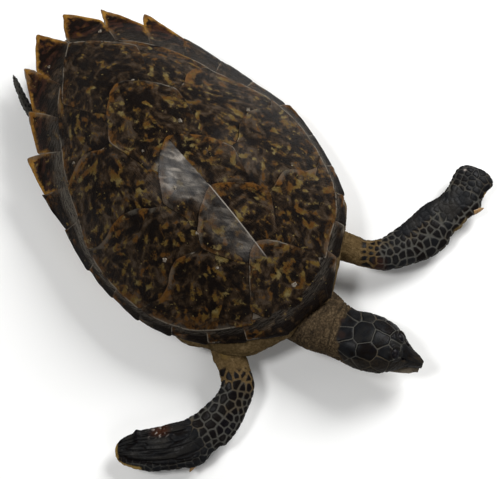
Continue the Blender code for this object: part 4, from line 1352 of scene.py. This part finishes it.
def head_stations():
    """The neck's rows and then the skull's, each with its roll, and their shares of the way."""
    rows = []
    for step, row in enumerate(NECK):
        rows.append((*row, HEAD_ROLL * (step + 1) / (len(NECK) + 1)))
    for forward, *sizes in SKULL:
        rows.append((*(HEAD_START + HEAD_FORWARD * forward), *sizes, HEAD_ROLL))
    rows = np.array(rows)
    return shares_walked(rows[:, :3])[0], rows


HEAD_KEYS, HEAD_ROWS = head_stations()
SKULL_KEYS = HEAD_KEYS[len(NECK):]
HEAD_SQUARENESS = 0.90


def head_surface(t, round_angle):
    """Place at a share t from the neck's root to the beak's tip, and an angle round from the
    crown, positive on the left: an oval about the head's line, a little squared, with its own
    height above and below, turned by the row's roll."""
    rows = curve_through(t, HEAD_KEYS, HEAD_ROWS)
    forward = heading(t, HEAD_KEYS, HEAD_ROWS[:, :3], 0.004)
    level = np.cross(UP, forward)
    level /= np.linalg.norm(level, axis=-1, keepdims=True)
    upright = np.cross(forward, level)
    roll = rows[..., 6:7]
    left = level * np.cos(roll) - upright * np.sin(roll)
    above = upright * np.cos(roll) + level * np.sin(roll)
    sine, cosine = np.sin(round_angle), np.cos(round_angle)
    across = np.sign(sine) * np.abs(sine) ** HEAD_SQUARENESS
    rise = np.sign(cosine) * np.abs(cosine) ** HEAD_SQUARENESS
    height = np.where(rise > 0, rows[..., 4], rows[..., 5])
    return (
        rows[..., :3]
        + left * (rows[..., 3] * across)[..., None]
        + above * (height * rise)[..., None]
    )


def outward(grid):
    """Unit normals of rings of points, from the differences along and round them."""
    along = np.gradient(grid, axis=0)
    around = np.roll(grid, -1, axis=1) - np.roll(grid, 1, axis=1)
    normal = np.cross(along, around)
    normal /= np.linalg.norm(normal, axis=-1, keepdims=True) + 1e-12
    away = grid - grid.mean(axis=1, keepdims=True)
    return normal * np.sign(np.einsum("ijk,ijk->", normal, away))


def scale_cells(grid, centres):
    """For each point, half the gap between its distances to the nearest and the second nearest
    scale centre, which is the distance to their seam, and the nearest one's number."""
    nearest = np.full(grid.shape[:-1], 1e9)
    second = nearest.copy()
    number = np.zeros(nearest.shape, int)
    for index, centre in enumerate(centres):
        distance = np.linalg.norm(grid - centre, axis=-1)
        closer = distance < nearest
        second = np.where(closer, nearest, np.minimum(second, distance))
        number[closer] = index
        nearest = np.where(closer, distance, nearest)
    return (second - nearest) / 2.0, number


def skull_share(forward):
    """Share along the neck and head of a distance forward of the head's start, known at the
    skull's stations and 20 mm back along the neck."""
    known = [-0.02] + [row[0] for row in SKULL]
    return np.interp(forward, known, [SKULL_KEYS[0] - 0.12, *SKULL_KEYS])


def eye_middle(side):
    """The middle of the left (1) or right (-1) eye."""
    aside = HEAD_SIDE * side * EYE_ASIDE
    return HEAD_START + HEAD_FORWARD * EYE_FORWARD + aside + HEAD_TOP * EYE_RISE


SEAM_DEPTH = 0.0009
HOLLOW_DEPTH = 0.0020
HOLLOW_LENGTH = 0.0040
HOLLOW_WIDTH = 0.0015
LID_CREST = EYE_RADIUS + 0.0014
LID_WIDTH = 0.0013
SOCKET_SINK = 0.6


def eyelid(grid, side):
    """1 along the crest of the lids round an eye, falling off as exp(-d^2), and their height
    there, which is least before and behind the eye."""
    away = grid - eye_middle(side)
    gap = np.linalg.norm(away, axis=-1)
    lengthwise = (away @ HEAD_FORWARD / gap) ** 2
    lid = np.exp(-(((gap - LID_CREST) / LID_WIDTH) ** 2))
    return lid, lid * (0.0022 - 0.0014 * lengthwise)


def hollow_before(grid, side):
    """1 in the middle of the hollow before an eye: exp(-d^2) of a long ellipse."""
    turned = math.radians(HEAD_MIDDLE_DEGREES + side * HOLLOW_ASIDE)
    away = grid - head_surface(skull_share(HOLLOW_FORWARD), np.array(turned))
    along = away @ HEAD_FORWARD
    across = np.einsum("ijk,ijk->ij", away, away) - along**2
    return np.exp(-((along / HOLLOW_LENGTH) ** 2) - across / HOLLOW_WIDTH**2)


def sunk_sockets(grid):
    """The skin within an eye's ball drawn in toward a point under the eye."""
    for side in (1, -1):
        gap = np.linalg.norm(grid - eye_middle(side), axis=-1, keepdims=True)
        inward = eye_middle(side) - HEAD_TOP * 0.003
        sunk = inward + (grid - inward) * SOCKET_SINK
        grid = np.where(gap < EYE_RADIUS - 0.0006, sunk, grid)
    return grid


def head_skin():
    """The head's surface, raised by each scale and sunk at their seams, with lids round each
    eye, a hollow before it darkened by painted shade, and rings of wrinkles round the neck, whose
    folds are darkened by painted shade."""
    t = np.concatenate([np.linspace(0.0, 0.34, 120), np.linspace(0.3425, 0.997, 250)])[:, None]
    t, turn = np.broadcast_arrays(t, full_turn(260))
    grid = head_surface(t, turn)
    normal = outward(grid)
    forward = (grid - HEAD_START) @ HEAD_FORWARD
    aside = np.degrees(turn) - HEAD_MIDDLE_DEGREES
    aside = np.where(aside > 0.0, 0.7 * aside, -aside)

    ahead, around = np.array(HEAD_SCALES).T
    centres = head_surface(skull_share(ahead), np.radians(around))
    wobble = 0.0007 * np.stack([mottle(grid, 0.006, 51 + k) for k in range(3)], axis=-1)
    seam, number = scale_cells(grid + wobble, centres)
    edge = np.interp(forward, *np.array(CHEEK_EDGE).T)
    cheek = eased_step(aside + 3.0 * mottle(grid, 0.006, 43), edge - 1.0, edge + 4.0)
    start = 0.012 * np.minimum(aside / 75.0, 1.3) ** 2 - 0.007 + 0.003 * mottle(grid, 0.006, 44)
    covered = eased_step(forward, start, start + 0.004)
    scaly = covered * (1.0 - 0.35 * cheek)
    beak = eased_step(forward, BEAK_START, BEAK_END)
    seam = seam + 0.003 * beak
    tint = 0.55 + 0.35 * mottle(centres * 40.0, 1.0, 46)[number] + 0.3 * mottle(grid, 0.006, 57)

    lift = -SEAM_DEPTH * (1.0 - eased_step(seam, 0.0, 0.0016)) * scaly
    rings = np.stack([forward, turn * 0.004, 0 * t], axis=-1)
    pits = np.stack([forward, turn * 0.020, 0 * t], axis=-1)
    near = 1.0 - eased_step(np.abs(forward - start + 0.004), 0.003, 0.012)
    ringed = creases(rings, 0.0045, 47) * (0.35 + 0.65 * near)
    folds = np.maximum(ringed, 0.7 * creases(pits, 0.0038, 48))
    folds *= (1.0 - covered) * eased_step(t, 0.0, 0.05)
    bumps = np.clip(mottle(grid, 0.0026, 45), 0.0, 1.0) * cheek * covered
    lift = lift - 0.0013 * folds + 0.0006 * bumps
    # On the bare neck tint mixes in the crease colour, a little everywhere and more in the folds as
    # painted shade.
    tint = tint + (0.18 + 0.6 * folds - tint) * (1.0 - covered)
    tint = tint + (0.55 + 0.35 * creases(pits, 0.003, 49) - tint) * cheek * covered
    streak = mottle(np.stack([forward * 0.22, turn * 0.010, 0 * t], axis=-1), 0.0016, 53)
    scaly = scaly + (0.80 + 0.4 * streak - scaly) * beak * covered
    lift += 0.0003 * streak * beak

    for side in (1, -1):
        lid, height = eyelid(grid, side)
        hollow = hollow_before(grid, side)
        lift += height
        lift -= HOLLOW_DEPTH * hollow
        scaly = scaly * (1.0 - 0.15 * lid)
        # In the hollow the skin becomes plain violet-black scale: painted shade in the recess.
        scaly = scaly + (1.0 - scaly) * np.clip(1.6 * hollow, 0.0, 1.0)
        seam = seam + 0.004 * hollow
        tint = tint * (1.0 - np.clip(2.0 * hollow, 0.0, 1.0))
    grid = sunk_sockets(grid + normal * lift[..., None])
    pink = 0.25 * eased_step(mottle(grid, 0.012, 54), 0.2, 0.6)
    pink = pink * window(forward, -0.03, -0.01, 0.0, 0.01)
    root = head_surface(np.array(0.0), np.array(0.0)) - UP * NECK_ROOT_DROP
    return closed_skin(
        grid, root, grid[-1].mean(axis=0), seam=1.8 * seam, scaly=np.clip(scaly, 0, 1),
        tint=np.clip(tint, 0, 1), rust=pink, amber=0.0, pale=0.0,
    )


head_piece = add_piece("head_and_neck_hide", [head_skin()], HIDE)
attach(head_piece, "root")
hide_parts("head_and_neck")

# ----------------------------------------------
# Lower jaw. The lower beak: a pale, trough-shaped horn streaked with brown, grown fast to the
# jaw's bone, that closes up into the upper beak from below.

# How far the jaw's line lies under the head's, and its stations: distance forward, half width,
# height above and below its line.
JAW_DROP = 0.0120
JAW = [
    (0.034, 0.0240, 0.0030, 0.0045), (0.044, 0.0230, 0.0040, 0.0075),
    (0.055, 0.0205, 0.0035, 0.0085), (0.070, 0.0165, 0.0030, 0.0085),
    (0.084, 0.0120, 0.0025, 0.0070), (0.0945, 0.0060, 0.0015, 0.0048),
]
JAW_PALE = (0.170, 0.138, 0.098)
JAW_BROWN = (0.055, 0.040, 0.026)
JAW_DUST = (0.20, 0.18, 0.15)


def jaw_skin():
    """Ovals about the jaw's line, with their own heights above and below it, under the head."""
    t = np.linspace(JAW[0][0], JAW[-1][0], 90)[:, None]
    turn = full_turn(120)
    rows = curve_through(t[:, 0], [row[0] for row in JAW], [row[1:] for row in JAW])[:, None, :]
    height = np.where(np.cos(turn) > 0, rows[..., 1], rows[..., 2])
    line = HEAD_START + HEAD_FORWARD * t[..., None] - HEAD_TOP * JAW_DROP
    grid = (
        line
        + HEAD_SIDE * (rows[..., 0] * np.sin(turn))[..., None]
        + HEAD_TOP * (height * np.cos(turn))[..., None]
    )
    grid = grid + outward(grid) * (0.0005 * mottle(grid, 0.005, 61))[..., None]
    return closed_skin(grid, grid[0].mean(axis=0), grid[-1].mean(axis=0))


def jaw_material():
    """Pale horn streaked with brown and lightly dusted."""
    material, tree, shader = start_material("jaw horn", Specular_IOR_Level=0.3)
    place = object_place(tree)
    dust, grain = dusted(tree, place, 400.0, 0.4)
    streak = noise(tree, place, 150.0, detail=4.0, roughness=0.6)
    colour = ramp(tree, streak, (0.34, JAW_BROWN), (0.58, JAW_PALE))
    colour = blend(tree, dust, colour, JAW_DUST)
    roughness = plus(tree, 0.35, (streak, 0.25))
    finish_material(tree, shader, colour, roughness, maths(tree, "ADD", grain, streak), 0.0005)
    return material


jaw_piece = add_piece("lower_jaw_horn", [jaw_skin()], jaw_material())
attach(jaw_piece, "root")
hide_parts("lower_jaw")

# ----------------------------------------------
# Eyes. Dark glass balls with a faint brown iris, such as a mounted animal has in place of its
# own, set in the head's sockets within the lids.

EYE_BLACK = (0.004, 0.0035, 0.005)
EYE_IRIS = (0.0110, 0.0080, 0.0085)
# How far each eye's pole leans out from the head's top, in radians.
EYE_LEAN = 0.5


def eye_skin(side):
    """A sphere whose poles point up and out of the head, so that the iris rings the outer one."""
    middle = eye_middle(side)
    lean = EYE_LEAN * side
    out = HEAD_TOP * math.cos(lean) + HEAD_SIDE * math.sin(lean)
    sideways = HEAD_SIDE * math.cos(lean) - HEAD_TOP * math.sin(lean)
    from_pole = np.linspace(0.06, np.pi - 0.06, 40)[:, None]
    turn = full_turn(64, start=0.0)
    ring = np.sin(from_pole)
    grid = middle + EYE_RADIUS * (
        out * (np.cos(from_pole) + 0 * turn)[..., None]
        + HEAD_FORWARD * (ring * np.cos(turn))[..., None]
        + sideways * (ring * np.sin(turn))[..., None]
    )
    pupil = np.broadcast_to(from_pole, grid.shape[:2])
    return closed_skin(grid, middle + out * EYE_RADIUS, middle - out * EYE_RADIUS, pupil=pupil)


def eye_material():
    """Black, with the iris as a ring between two angles from the outer pole, faintly streaked."""
    material, tree, shader = start_material(
        "glass eye", Specular_IOR_Level=0.06, Coat_Weight=0.05, Coat_Roughness=0.34
    )
    streak = noise(tree, object_place(tree), 700.0, detail=3.0)
    colour = ramp(tree, attribute(tree, "pupil"), (0.28, EYE_BLACK), (0.34, EYE_IRIS),
                  (0.52, EYE_IRIS), (0.62, EYE_BLACK))
    colour = blend(tree, times(tree, streak, 0.5), colour, EYE_BLACK)
    roughness = plus(tree, 0.35, (streak, 0.1))
    finish_material(tree, shader, colour, roughness, streak, 0.00005)
    return material


EYE = eye_material()
for side, word in ((1, "left"), (-1, "right")):
    eye_piece = add_piece(word + "_eye_ball", [eye_skin(side)], EYE)
    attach(eye_piece, "root")
    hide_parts(word + "_eye")

# ----------------------------------------------
# Front flippers. Long flat blades in dried hide: bare tan skin at the shoulder, then rows of
# scales, larger on the leading edge of the left one, and toward the tip smooth, folded leather.
# Each has one amber claw, grown fast to its leading edge.

# Stations from inside the body to the tip: the blade's middle, its half width, its half
# thickness and its roll in degrees, which drops the leading edge.
LEFT_FRONT = [
    (0.062, -0.140, 0.031, 0.022, 0.0115, 0), (0.077, -0.165, 0.033, 0.0205, 0.0115, 4),
    (0.091, -0.188, 0.034, 0.0170, 0.0110, 8), (0.102, -0.207, 0.034, 0.0155, 0.0105, 12),
    (0.119, -0.223, 0.033, 0.0190, 0.0100, 14), (0.143, -0.231, 0.031, 0.0230, 0.0095, 14),
    (0.168, -0.236, 0.029, 0.0265, 0.0085, 12), (0.195, -0.235, 0.027, 0.0265, 0.0080, 10),
    (0.221, -0.2335, 0.025, 0.0215, 0.0070, 8), (0.244, -0.2315, 0.023, 0.0250, 0.0060, 6),
    (0.262, -0.2245, 0.022, 0.0245, 0.0055, 6), (0.277, -0.217, 0.021, 0.0215, 0.0040, 6),
]
RIGHT_FRONT = [
    (-0.062, -0.142, 0.031, 0.022, 0.0115, 0), (-0.079, -0.168, 0.033, 0.0205, 0.0115, 4),
    (-0.093, -0.191, 0.034, 0.0190, 0.0110, 8), (-0.101, -0.211, 0.034, 0.0178, 0.0105, 12),
    (-0.110, -0.227, 0.033, 0.0195, 0.0100, 14), (-0.125, -0.236, 0.031, 0.0200, 0.0095, 14),
    (-0.145, -0.242, 0.029, 0.0230, 0.0090, 12), (-0.169, -0.244, 0.027, 0.0255, 0.0085, 10),
    (-0.194, -0.240, 0.025, 0.0275, 0.0080, 8), (-0.216, -0.229, 0.023, 0.0275, 0.0070, 6),
    (-0.239, -0.211, 0.021, 0.0225, 0.0055, 6), (-0.263, -0.192, 0.019, 0.0130, 0.0040, 6),
]
# Rows of scales: degrees round the blade from the leading edge over the top, and a scale's length.
UNDER_ROWS = [
    (-22, 0.0095), (-55, 0.0095), (-78, 0.0100), (-100, 0.0105), (-125, 0.0105), (-152, 0.0105),
]
LEFT_ROWS = UNDER_ROWS + [
    (33, 0.0112), (70, 0.0078), (96, 0.0078), (116, 0.0072), (141, 0.0105), (180, 0.0110),
]
RIGHT_ROWS = UNDER_ROWS + [
    (28, 0.0080), (54, 0.0076), (75, 0.0084), (98, 0.0112), (126, 0.0145), (160, 0.0130),
]
# The power in the formula of a limb's tip, below.
BLUNTNESS = 2.6


def limb_surface(stations, t, turn, side, tip=0.06):
    """Place at a share t along a limb and an angle round it, 0 on the leading edge and rising
    over the top: a flat oval, thickest a third of the way back, that rounds off over the tip's
    share as (1 - u^b)^(1/b), where b is the bluntness and u runs from 0 to 1."""
    rows = np.array(stations, float)
    keys = shares_walked(rows[:, :3])[0]
    row = curve_through(t, keys, rows)
    forward = heading(t, keys, rows[:, :3], 0.01)
    level = np.cross(forward, UP) * side
    level /= np.linalg.norm(level, axis=-1, keepdims=True)
    upright = np.cross(level, forward) * side
    roll = np.radians(row[..., 5])[..., None]
    lead = level * np.cos(roll) - upright * np.sin(roll)
    over = upright * np.cos(roll) + level * np.sin(roll)
    into_tip = np.clip((t - 1.0 + tip) / tip, 0.0, 1.0)
    closing = np.clip(1.0 - into_tip**BLUNTNESS, 0.0, 1.0) ** (1 / BLUNTNESS)
    across = np.cos(turn)
    rise = np.sin(turn) * (1.0 + 0.28 * across - 0.10 * across**2)
    return (
        row[..., :3]
        + lead * (row[..., 3] * closing * across)[..., None]
        + over * (row[..., 4] * (0.25 + 0.75 * closing) * closing * rise)[..., None]
    )


def limb_length(stations):
    """Metres along a limb's middle."""
    return shares_walked(np.array(stations, float)[:, :3])[1]


def row_centres(stations, side, bare, scale_rows, seed):
    """Centres of the scales in rows along the limb, each row shifted and each scale jogged. The
    rows begin a little inside the bare skin."""
    rng = np.random.default_rng(seed)
    length = limb_length(stations)
    scaled = 1.06 - bare
    places = []
    for degrees, spacing in scale_rows:
        count = int(length * scaled / spacing)
        shares = bare - 0.06 + (np.arange(count) + rng.uniform(0, 1)) * scaled / count
        jog = rng.uniform(-0.28, 0.28, count) * spacing / length
        turns = np.radians(degrees + rng.uniform(-7, 7, count))
        places.append(np.stack([np.clip(shares + jog, 0, 0.995), turns], axis=-1))
    shares, turns = np.concatenate(places).T
    return limb_surface(stations, shares, turns, side)


def unworn(t, across, top):
    """Every kind of wear at 0, as for the limbs that hardly show."""
    none = 0.0 * t
    return SimpleNamespace(
        smooth=none, folded=none, rust=none, amber=none, pale=none, torn=none, flap=none,
        recess=none,
    )


def left_wear(t, across, top):
    """The left blade's wear, by the share t along it, the share across it from the leading edge,
    and top, which is 1 on its upper face. Patches toward the tip are smooth, with a rust stain, two
    amber spots on the leading edge and a pale fleck near the tip. Its leading edge draws in by
    the recess, in metres, on both sides of the claw."""
    wear = unworn(t, across, top)
    inner = window(t, 0.69, 0.73, 0.84, 0.88) * window(across, 0.25, 0.35, 0.80, 0.95)
    rear = eased_step(across, 0.70, 0.78) * window(t, 0.46, 0.50, 0.76, 0.82)
    wear.smooth = np.maximum(np.maximum(inner, rear), 0.45 * eased_step(t, 0.86, 0.90)) * top
    stained = window(t, 0.32, 0.34, 0.36, 0.39) * (1.0 - eased_step(across, 0.25, 0.5))
    wear.rust = 0.5 * stained * top
    spot = 0.4 * window(t, 0.68, 0.71, 0.76, 0.80) * (1.0 - eased_step(across, 0.03, 0.10))
    outer = window(t, 0.885, 0.893, 0.905, 0.913) * (1.0 - eased_step(across, 0.01, 0.05))
    wear.amber = np.maximum(spot, 0.9 * outer)
    wear.pale = np.exp(-(((t - 0.963) / 0.005) ** 2) - ((across - 0.82) / 0.03) ** 2) * top
    wear.recess = 0.0042 * window(t, 0.63, 0.67, 0.69, 0.74)
    wear.recess = wear.recess + 0.0055 * window(t, 0.845, 0.875, 0.90, 0.965)
    return wear


def right_wear(t, across, top):
    """The same on the right blade, whose outer part is creased leather. It is torn to pale,
    rusty flakes near its rear edge, and a black flap is folded over beyond them. The leading
    edge and the tip are amber, as is a spot on the bare skin."""
    wear = unworn(t, across, top)
    ahead = 0.45 + 0.55 * eased_step(across, 0.15, 0.35)
    wear.smooth = eased_step(t, 0.60, 0.69) * ahead * top
    wear.folded = eased_step(t, 0.62, 0.72) * window(across, 0.06, 0.2, 0.88, 1.0) * top
    wear.torn = np.exp(-(((t - 0.80) / 0.045) ** 2) - ((across - 0.90) / 0.11) ** 2) * top
    wear.rust = np.clip(1.5 * wear.torn - 0.2, 0.0, 0.9)
    rim = (1.0 - eased_step(across, 0.05, 0.11)) * window(t, 0.885, 0.90, 1.0, 1.1)
    spot = 0.75 * np.exp(-(((t - 0.22) / 0.03) ** 2) - ((across - 0.66) / 0.16) ** 2) * top
    wear.amber = np.maximum(np.maximum(rim, eased_step(t, 0.985, 0.993)), spot)
    wear.flap = np.exp(-(((t - 0.905) / 0.012) ** 2)) * eased_step(across, 0.62, 0.80)
    wear.recess = window(t, 0.57, 0.60, 0.63, 0.665) + window(t, 0.695, 0.735, 0.79, 0.87)
    wear.recess = 0.0038 * wear.recess
    return wear


# How much amber and rust stain the bare skin of the front limbs.
BARE_STAIN = (0.17, 0.12)
FLAP_RISE = 0.0030


def flipper_skin(stations, side, bare, seed, scale_rows, wear_of=unworn, stain=(0.0, 0.0),
                 tip=0.06, rows=330, columns=250):
    """A limb's surface with its scales raised and their seams sunk, wrinkled where it is bare,
    creased where it is folded leather and roughened where it is torn; the wrinkles and creases are
    darkened by painted shade. Near the bare skin only the scales' middles show, as dark dots."""
    into_tip = 1 - tip * np.cos(np.linspace(0.03, 1, 50) * np.pi / 2)
    t = np.concatenate([np.linspace(0.0, 1 - tip, rows - 50), into_tip])
    t, turn = np.broadcast_arrays(t[:, None], full_turn(columns, start=0.0))
    t = np.minimum(t, 0.9995)
    grid = limb_surface(stations, t, turn, side, tip)
    normal = outward(grid)
    centres = row_centres(stations, side, bare, scale_rows, seed)
    wobble = 0.0007 * np.stack([mottle(grid, 0.005, seed + k) for k in range(3)], axis=-1)
    seam, number = scale_cells(grid + wobble, centres)

    across = (1.0 - np.cos(turn)) / 2.0
    wear = wear_of(t, across, eased_step(np.sin(turn), -0.1, 0.1))
    inward = grid.mean(axis=1, keepdims=True) - grid
    pull = wear.recess * (1.0 - eased_step(across, 0.0, 0.35)) / np.linalg.norm(inward, axis=-1)
    grid = grid + inward * pull[..., None]

    start = bare + 0.03 * mottle(grid, 0.012, seed + 4) - 0.07 * eased_step(seam, 0.0006, 0.0018)
    scaly = eased_step(t, start, start + 0.025)
    tint = np.clip(0.38 + 0.40 * mottle(centres * 60.0, 1.0, seed)[number], 0.0, 1.0)
    tint = tint + (0.80 + 0.25 * mottle(grid, 0.010, seed + 5) - tint) * wear.smooth
    lift = -SEAM_DEPTH * (1.0 - eased_step(seam, 0.0, 0.0018)) * scaly * (1.0 - 0.7 * wear.smooth)

    leather = np.stack([t * limb_length(stations) * 0.13, across * 0.055, 0 * t], axis=-1)
    small = 0.7 * creases(leather, 0.0036, seed + 12)
    folds = np.maximum(creases(leather, 0.0062, seed + 6), small) * wear.folded
    # Tint falls to violet-black in the folds' bottoms: painted shade.
    tint = tint * (1.0 - 0.9 * folds)
    lift += 0.0006 * mottle(grid, 0.015, seed + 7) - 0.0020 * folds

    place = np.stack([t * 0.3, turn * 0.02, 0 * t], axis=-1)
    narrow = creases(place, 0.0045, seed + 8)
    wrinkles = 0.0007 * narrow + 0.0008 * mottle(place, 0.007, seed + 9)
    lift = lift - wrinkles * (1.0 - 0.85 * scaly)
    # On the bare skin tint gives the crease colour at the wrinkles' bottoms: painted shade.
    tint = tint + (0.45 * narrow - tint) * (1.0 - scaly)
    amber = np.maximum(wear.amber, stain[0] * (1.0 - scaly))
    rust = np.maximum(wear.rust, stain[1] * (1.0 - scaly))

    flap = wear.flap * (normal[..., 2] > -0.3)
    tint = tint * (1.0 - flap)
    lift = lift + FLAP_RISE * flap + 0.0016 * wear.torn * mottle(grid, 0.003, seed + 10)
    flakes = np.clip(3.0 * mottle(grid, 0.0022, seed + 11) - 1.0, 0.0, 1.0)
    pale = np.maximum(wear.pale, flakes * np.clip(1.5 * wear.torn, 0.0, 1.0))
    grid = grid + normal * lift[..., None]
    return closed_skin(
        grid, np.array(stations[0][:3]), grid[-1].mean(axis=0), seam=seam + 0.0014 * wear.smooth,
        scaly=scaly, tint=np.clip(tint, 0, 1), rust=rust, amber=amber, pale=pale,
    )


CLAW_AMBER = (0.230, 0.130, 0.045)
CLAW_DARK = (0.050, 0.028, 0.014)
CLAW_ROOT_RADIUS = 0.0042
CLAW_DROOP = 0.0012
# The middle of each claw's root, and its tip.
LEFT_CLAW = ((0.2350, -0.2520, 0.022), (0.2484, -0.2572, 0.021))
RIGHT_CLAW = ((-0.2000, -0.2600, 0.021), (-0.2136, -0.2642, 0.020))


def claw_skin(root, tip):
    """A cone with bulging sides from root to tip: its radius is the root's times 1 - 0.9 t^1.8,
    and its line droops by t^2 of the droop."""
    root, tip = np.array(root), np.array(tip)
    t = np.linspace(0.0, 1.0, 24)[:, None]
    turn = full_turn(20, start=0.0)
    forward = (tip - root) / np.linalg.norm(tip - root)
    aside = np.cross(forward, UP)
    above = np.cross(aside, forward)
    radius = CLAW_ROOT_RADIUS * (1.0 - 0.9 * t**1.8)
    line = root + (tip - root) * t[..., None] - UP * (CLAW_DROOP * t**2)[..., None]
    around = aside * np.cos(turn)[..., None] + above * np.sin(turn)[..., None]
    grid = line + around * radius[..., None]
    return closed_skin(grid, root, tip - UP * CLAW_DROOP)


def claw_material():
    """Amber horn with dark streaks."""
    material, tree, shader = start_material("amber claw", Specular_IOR_Level=0.5)
    streak = noise(tree, object_place(tree), 320.0, detail=4.0)
    colour = ramp(tree, streak, (0.28, CLAW_DARK), (0.46, CLAW_AMBER))
    roughness = plus(tree, 0.3, (streak, 0.2))
    finish_material(tree, shader, colour, roughness, streak, 0.0003)
    return material


CLAW = claw_material()
# The share of each front limb, from inside the body, that is bare skin.
BARE_SHARE = 0.345
for word, side, stations, seed, scale_rows, wear_of, claw in (
    ("left", 1, LEFT_FRONT, 300, LEFT_ROWS, left_wear, LEFT_CLAW),
    ("right", -1, RIGHT_FRONT, 400, RIGHT_ROWS, right_wear, RIGHT_CLAW),
):
    skin = flipper_skin(stations, side, BARE_SHARE, seed, scale_rows, wear_of, BARE_STAIN)
    blade = add_piece(word + "_front_blade", [skin], HIDE)
    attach(blade, "root")
    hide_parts(word + "_front_flipper")
    horn = add_piece(word + "_claw", [claw_skin(*claw)], CLAW)
    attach(horn, "root")
    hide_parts(word + "_front_flipper")

# ----------------------------------------------
# Hind flippers and tail. Short paddles in the same black, scaled hide, tucked back under the
# shell, the right one with its blade on edge, and a blunt tail between them.

# Stations like those of the front flippers.
RIGHT_HIND = [
    (-0.066, 0.080, 0.032, 0.016, 0.0110, 0), (-0.078, 0.108, 0.032, 0.016, 0.0095, 30),
    (-0.082, 0.138, 0.031, 0.015, 0.0080, 55), (-0.0835, 0.165, 0.030, 0.012, 0.0065, 70),
    (-0.0825, 0.190, 0.030, 0.0090, 0.0055, 75), (-0.0765, 0.213, 0.030, 0.0065, 0.0045, 75),
    (-0.0690, 0.235, 0.031, 0.0035, 0.0030, 75),
]
LEFT_HIND = [
    (0.062, 0.080, 0.030, 0.016, 0.0110, 0), (0.074, 0.106, 0.029, 0.018, 0.0095, 12),
    (0.080, 0.130, 0.027, 0.021, 0.0080, 18), (0.080, 0.153, 0.025, 0.022, 0.0065, 20),
    (0.072, 0.175, 0.023, 0.019, 0.0055, 20), (0.062, 0.192, 0.022, 0.011, 0.0040, 20),
]
TAIL = [
    (0.000, 0.120, 0.026, 0.0160, 0.0120, 0), (0.000, 0.145, 0.026, 0.0135, 0.0110, 0),
    (0.000, 0.165, 0.025, 0.0105, 0.0090, 0), (0.001, 0.183, 0.024, 0.0070, 0.0065, 0),
    (0.001, 0.197, 0.023, 0.0035, 0.0035, 0),
]
PADDLE_ROWS = UNDER_ROWS + [
    (28, 0.0085), (62, 0.0075), (90, 0.0080), (118, 0.0085), (150, 0.0090), (180, 0.0095),
]
for name, node, stations, side, seed in (
    ("left_hind_paddle", "left_hind_flipper", LEFT_HIND, -1, 500),
    ("right_hind_paddle", "right_hind_flipper", RIGHT_HIND, 1, 600),
    ("tail_hide", "tail", TAIL, 1, 700),
):
    skin = flipper_skin(stations, side, 0.05, seed, PADDLE_ROWS, tip=0.10, rows=200, columns=160)
    paddle = add_piece(name, [skin], HIDE)
    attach(paddle, "root")
    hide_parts(node)

# ----------------------------------------------
# Setting. A plain pale floor, soft studio lights, strongest from the picture's upper right, and
# the camera where the photograph was taken from, looking steeply down on the turtle's back.

FLOOR_PALE = (0.93, 0.93, 0.92)
FLOOR_HALF = 6.0
floor_material, _, floor_shader = start_material("pale floor", Roughness=0.9)
floor_shader.inputs["Base Color"].default_value = (*FLOOR_PALE, 1.0)
floor_mesh = bpy.data.meshes.new("floor")
floor_corners = [(x * FLOOR_HALF, y * FLOOR_HALF, 0) for x, y in ((-1, -1), (1, -1), (1, 1), (-1, 1))]
floor_mesh.from_pydata(floor_corners, [], [(0, 1, 2, 3)])
floor_mesh.materials.append(floor_material)
floor = bpy.data.objects.new("floor", floor_mesh)
bpy.context.scene.collection.objects.link(floor)

CAMERA_AZIMUTH = -40.9
CAMERA_ELEVATION = 76.0
CAMERA_DISTANCE = 1.5
CAMERA_TARGET = Vector((0.0078, -0.1125, 0.060))
CAMERA_LENS = 94.4
CAMERA_SENSOR = 36.0
camera_data = bpy.data.cameras.new("camera")
camera_data.lens = CAMERA_LENS
camera_data.sensor_width = CAMERA_SENSOR
camera = bpy.data.objects.new("camera", camera_data)
bpy.context.scene.collection.objects.link(camera)
turned, raised = math.radians(CAMERA_AZIMUTH), math.radians(CAMERA_ELEVATION)
back = Vector((
    math.sin(turned) * math.cos(raised), -math.cos(turned) * math.cos(raised), math.sin(raised)
))
camera.location = CAMERA_TARGET + back * CAMERA_DISTANCE
camera.rotation_mode = "QUATERNION"
camera.rotation_quaternion = (-back).to_track_quat("-Z", "Y")
bpy.context.scene.camera = camera

# Each lamp's place and width in metres and power in watts, all aimed at the turtle's middle.
LIGHTS_AIM = Vector((0.0, 0.0, 0.06))
for name, place, size, power in (
    ("key light", (-0.80, 0.42, 2.10), 0.50, 20.0),
    ("side light", (1.70, 0.10, 1.50), 1.0, 56.0),
    ("front light", (-0.20, -2.00, 1.60), 1.2, 11.0),
    ("back light", (-0.9, 1.9, 1.3), 1.2, 12.0),
):
    light = bpy.data.lights.new(name, "AREA")
    light.energy = power
    light.size = size
    lamp = bpy.data.objects.new(name, light)
    lamp.location = place
    lamp.rotation_mode = "QUATERNION"
    lamp.rotation_quaternion = (LIGHTS_AIM - lamp.location).to_track_quat("-Z", "Y")
    bpy.context.scene.collection.objects.link(lamp)

SKY_STRENGTH = 0.07
world = bpy.data.worlds.new("studio")
world.use_nodes = True
background = world.node_tree.nodes["Background"]
background.inputs["Color"].default_value = (1.0, 1.0, 1.0, 1.0)
background.inputs["Strength"].default_value = SKY_STRENGTH
bpy.context.scene.world = world
bpy.context.scene.view_settings.view_transform = "Standard"
